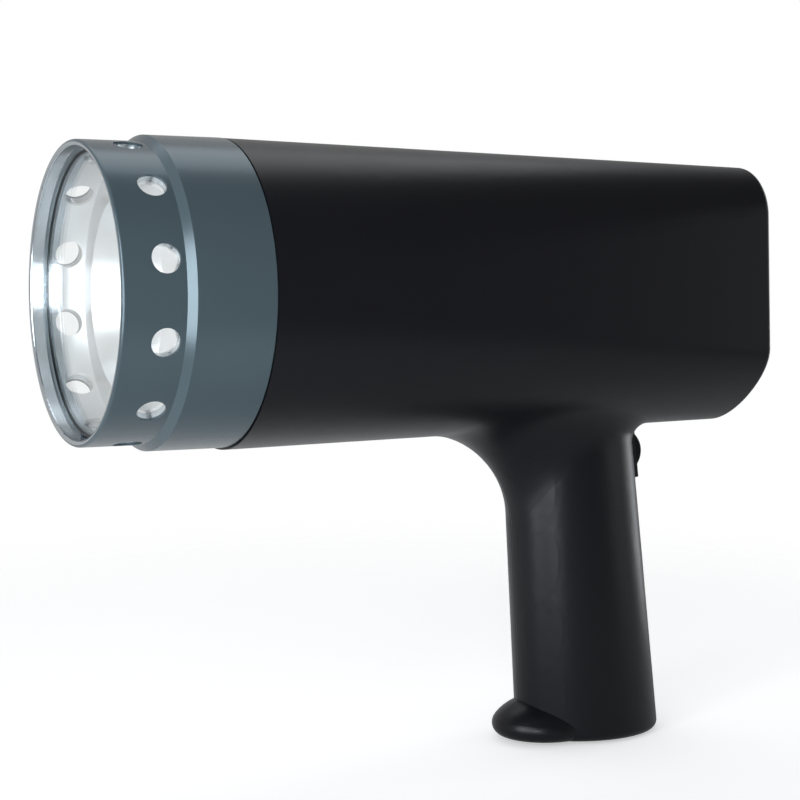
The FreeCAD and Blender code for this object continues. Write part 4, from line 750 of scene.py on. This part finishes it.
class STROBE_OT_studio(bpy.types.Operator):
    """Pale floor, white room, soft lamps and the camera"""
    bl_idname = "strobe.studio"
    bl_label = "Studio"

    def execute(self, context):
        studio = settings()[2]
        self.floor(studio)
        self.room(studio)
        self.lamps(studio)
        self.camera(studio)
        context.scene.view_settings.view_transform = "Standard"
        return {"FINISHED"}

    def floor(self, studio):
        """A level disc just under the foot, one face with the rim (r cos t, r sin t, height).

        It is lit by the lamps, so it takes their shadows.  On top of that it glows to the camera as
            the white room would light it, and pieces close above it dim that glow as a painted shadow."""
        turn = full_turn(96)
        height = np.full_like(turn, CAD_BOX[0][2] - FLOOR_GAP)
        rim = np.stack([studio.floor_radius * np.cos(turn), studio.floor_radius * np.sin(turn), height], -1)
        disc = piece("floor", rim, [list(range(len(turn)))])
        finish = bpy.data.materials.new("studio_floor")
        finish.use_nodes = True
        tree = finish.node_tree
        tree.nodes.clear()
        path = add(tree, "ShaderNodeLightPath")
        place = add(tree, "ShaderNodeTexCoord").outputs["Object"]
        glow = self.floor_glow(tree, path, studio)
        shine = self.floor_shine(tree, path, place)
        strength = add(tree, "ShaderNodeMath", {"operation": "MAXIMUM"},
                       {0: glow.outputs["Value"], 1: shine.outputs["Value"]})
        matt = add(tree, "ShaderNodeBsdfDiffuse", {"Color": linear(FLOOR_COLOUR)})
        white = add(tree, "ShaderNodeEmission", {"Color": WHITE}, {"Strength": strength.outputs["Value"]})
        near = add(tree, "ShaderNodeAddShader",
                   links={0: matt.outputs["BSDF"], 1: white.outputs["Emission"]})
        gone = add(tree, "ShaderNodeBsdfTransparent")
        whole = add(tree, "ShaderNodeMixShader",
                    links={0: self.floor_fade(tree, place, studio).outputs["Result"],
                           1: near.outputs["Shader"], 2: gone.outputs["BSDF"]})
        add(tree, "ShaderNodeOutputMaterial", links={"Surface": whole.outputs["Shader"]})
        disc.data.materials.append(finish)

    def direct_rays(self, tree, path):
        """1 for what the camera sees, also through glass, and 0 for mirrored and scattered light."""
        return add(tree, "ShaderNodeMath", {"operation": "MAXIMUM"},
                   {0: path.outputs["Is Camera Ray"], 1: path.outputs["Is Transmission Ray"]})

    def floor_fade(self, tree, place, studio):
        """0 near the object and 1 at the rim, where only the backdrop is left."""
        reach = add(tree, "ShaderNodeVectorMath", {"operation": "LENGTH"}, {0: place})
        inner, outer = studio.floor_radius * 0.35, studio.floor_radius * 0.8
        fade = {"interpolation_type": "SMOOTHSTEP", "From Min": inner, "From Max": outer,
                "To Min": 0.0, "To Max": 1.0}
        return add(tree, "ShaderNodeMapRange", fade, {"Value": reach.outputs["Value"]})

    def floor_glow(self, tree, path, studio):
        """The room's white to the camera and through glass, with a painted shadow where a piece lies close above
        the floor.
        """
        direct = self.direct_rays(tree, path)
        # painted shadow: ambient occlusion dims the floor's glow to the camera under pieces close above it
        cover = add(tree, "ShaderNodeAmbientOcclusion", {"samples": 16, "Distance": COVER_REACH})
        painted_shadow_to_open = {"From Min": 0.0, "From Max": 0.95,
                           "To Min": PAINTED_SHADOW_GLOW, "To Max": studio.floor_glow}
        shade = add(tree, "ShaderNodeMapRange", painted_shadow_to_open, {"Value": cover.outputs["AO"]})
        return add(tree, "ShaderNodeMath", {"operation": "MULTIPLY"},
                   {0: direct.outputs["Value"], 1: shade.outputs["Result"]})

    def floor_shine(self, tree, path, place):
        """What glossy pieces mirror of the floor: more of it behind the object than in front."""
        aside = add(tree, "ShaderNodeVectorMath", {"operation": "DOT_PRODUCT", 1: FLOOR_BRIGHT_WAY},
                    {0: place})
        front_to_back = {"From Min": 0.0, "From Max": 0.12, "To Min": 0.13, "To Max": 0.48}
        share = add(tree, "ShaderNodeMapRange", front_to_back, {"Value": aside.outputs["Value"]})
        return add(tree, "ShaderNodeMath", {"operation": "MULTIPLY"},
                   {0: path.outputs["Is Glossy Ray"], 1: share.outputs["Result"]})

    def room(self, studio):
        """White to the camera and through glass; overhead and behind it lights, in front it is dim."""
        world = bpy.data.worlds.new("studio_room")
        bpy.context.scene.world = world
        world.use_nodes = True
        tree = world.node_tree
        tree.nodes.clear()
        path = add(tree, "ShaderNodeLightPath")
        direct = self.direct_rays(tree, path)
        way = add(tree, "ShaderNodeTexCoord").outputs["Generated"]
        away = add(tree, "ShaderNodeVectorMath", {"operation": "DOT_PRODUCT", 1: ROOM_BRIGHT_WAY}, {0: way})
        grade = {"interpolation_type": "SMOOTHSTEP", "From Min": -0.1, "From Max": 0.75,
                 "To Min": studio.dim, "To Max": ROOM_BRIGHTNESS}
        bright = add(tree, "ShaderNodeMapRange", grade, {"Value": away.outputs["Value"]})
        glossy = add(tree, "ShaderNodeMath", {"operation": "MULTIPLY"},
                     {0: path.outputs["Is Glossy Ray"], 1: bright.outputs["Result"]})
        fill = add(tree, "ShaderNodeMath", {"operation": "MULTIPLY", 1: studio.fill},
                   {0: bright.outputs["Result"]})
        lit = add(tree, "ShaderNodeMath", {"operation": "MAXIMUM"},
                  {0: glossy.outputs["Value"], 1: fill.outputs["Value"]})
        strength = add(tree, "ShaderNodeMath", {"operation": "MAXIMUM"},
                       {0: direct.outputs["Value"], 1: lit.outputs["Value"]})
        light = add(tree, "ShaderNodeBackground", {"Color": WHITE}, {"Strength": strength.outputs["Value"]})
        add(tree, "ShaderNodeOutputWorld", links={"Surface": light.outputs["Background"]})

    def lamps(self, studio):
        """Area lamps that look at the middle of the object: name, place, size, power."""
        middle = (Vector(CAD_BOX[0]) + Vector(CAD_BOX[1])) / 2
        for name, place, size, power in (
                ("top_softbox", (-0.02, 0.34, 0.85), (0.9, 0.4), studio.top_power),
                ("front_strip", (-0.83, -0.39, 0.2), (0.14, 0.8), studio.front_power),
                ("cheek_panel", (-0.61, -0.51, 0.2), (0.3, 0.8), studio.cheek_power),
                ("grip_strip", (-0.42, -0.7, 0.1), (0.07, 0.45), studio.grip_power),
                ("flank_panel", (0.8, -0.5, 0.15), (0.35, 0.6), studio.flank_power),
                ("rear_strip", (0.8, 0.15, 0.2), (0.3, 0.7), studio.rear_power)):
            data = bpy.data.lights.new(name, "AREA")
            data.shape = "RECTANGLE"
            data.size, data.size_y = size
            data.energy = power
            data.color = LAMP_COLOUR
            lamp = bpy.data.objects.new(name, data)
            lamp.location = place
            lamp.rotation_euler = (middle - Vector(place)).to_track_quat("-Z", "Y").to_euler()
            bpy.context.scene.collection.objects.link(lamp)

    def camera(self, studio):
        """A camera at CAMERA_PLACE that looks at CAMERA_AIM, turned round its own axis by CAMERA_TILT."""
        data = bpy.data.cameras.new("camera")
        data.lens = studio.focal_length
        data.sensor_width = 36.0
        data.clip_start = 0.01
        shown = bpy.data.objects.new("camera", data)
        shown.location = CAMERA_PLACE
        aim = Vector(CAMERA_AIM) - shown.location
        tilt = Matrix.Rotation(math.radians(CAMERA_TILT), 3, "Z")
        shown.rotation_euler = (aim.to_track_quat("-Z", "Y").to_matrix() @ tilt).to_euler()
        bpy.context.scene.collection.objects.link(shown)
        bpy.context.scene.camera = shown


STEPS = (STROBE_OT_finishes, STROBE_OT_trigger_winding, STROBE_OT_bush_thread, STROBE_OT_display_digits,
         STROBE_OT_key_marks, STROBE_OT_rate_scale, STROBE_OT_rocker_marks, STROBE_OT_studio)


class STROBE_PT_panel(bpy.types.Panel):
    """Steps and settings of the stroboscope"""
    bl_idname = "STROBE_PT_panel"
    bl_label = "Stroboscope"
    bl_space_type = "VIEW_3D"
    bl_region_type = "UI"
    bl_category = "Stroboscope"

    def draw(self, context):
        for step in STEPS:
            self.layout.operator(step.bl_idname)
        for group in settings():
            box = self.layout.box()
            for name in group.__annotations__:
                box.prop(group, name)


CLASSES = (StrobeColours, StrobeFittings, StrobeStudio) + STEPS + (STROBE_PT_panel,)


def register():
    for cls in CLASSES:
        bpy.utils.register_class(cls)
    bpy.types.Scene.strobe_colours = PointerProperty(type=StrobeColours)
    bpy.types.Scene.strobe_fittings = PointerProperty(type=StrobeFittings)
    bpy.types.Scene.strobe_studio = PointerProperty(type=StrobeStudio)


def unregister():
    for name in ("strobe_colours", "strobe_fittings", "strobe_studio"):
        delattr(bpy.types.Scene, name)
    for cls in reversed(CLASSES):
        bpy.utils.unregister_class(cls)


def main():
    register()
    for step in STEPS:
        group, name = step.bl_idname.split(".")
        getattr(getattr(bpy.ops, group), name)()


if __name__ == "__main__":
    main()
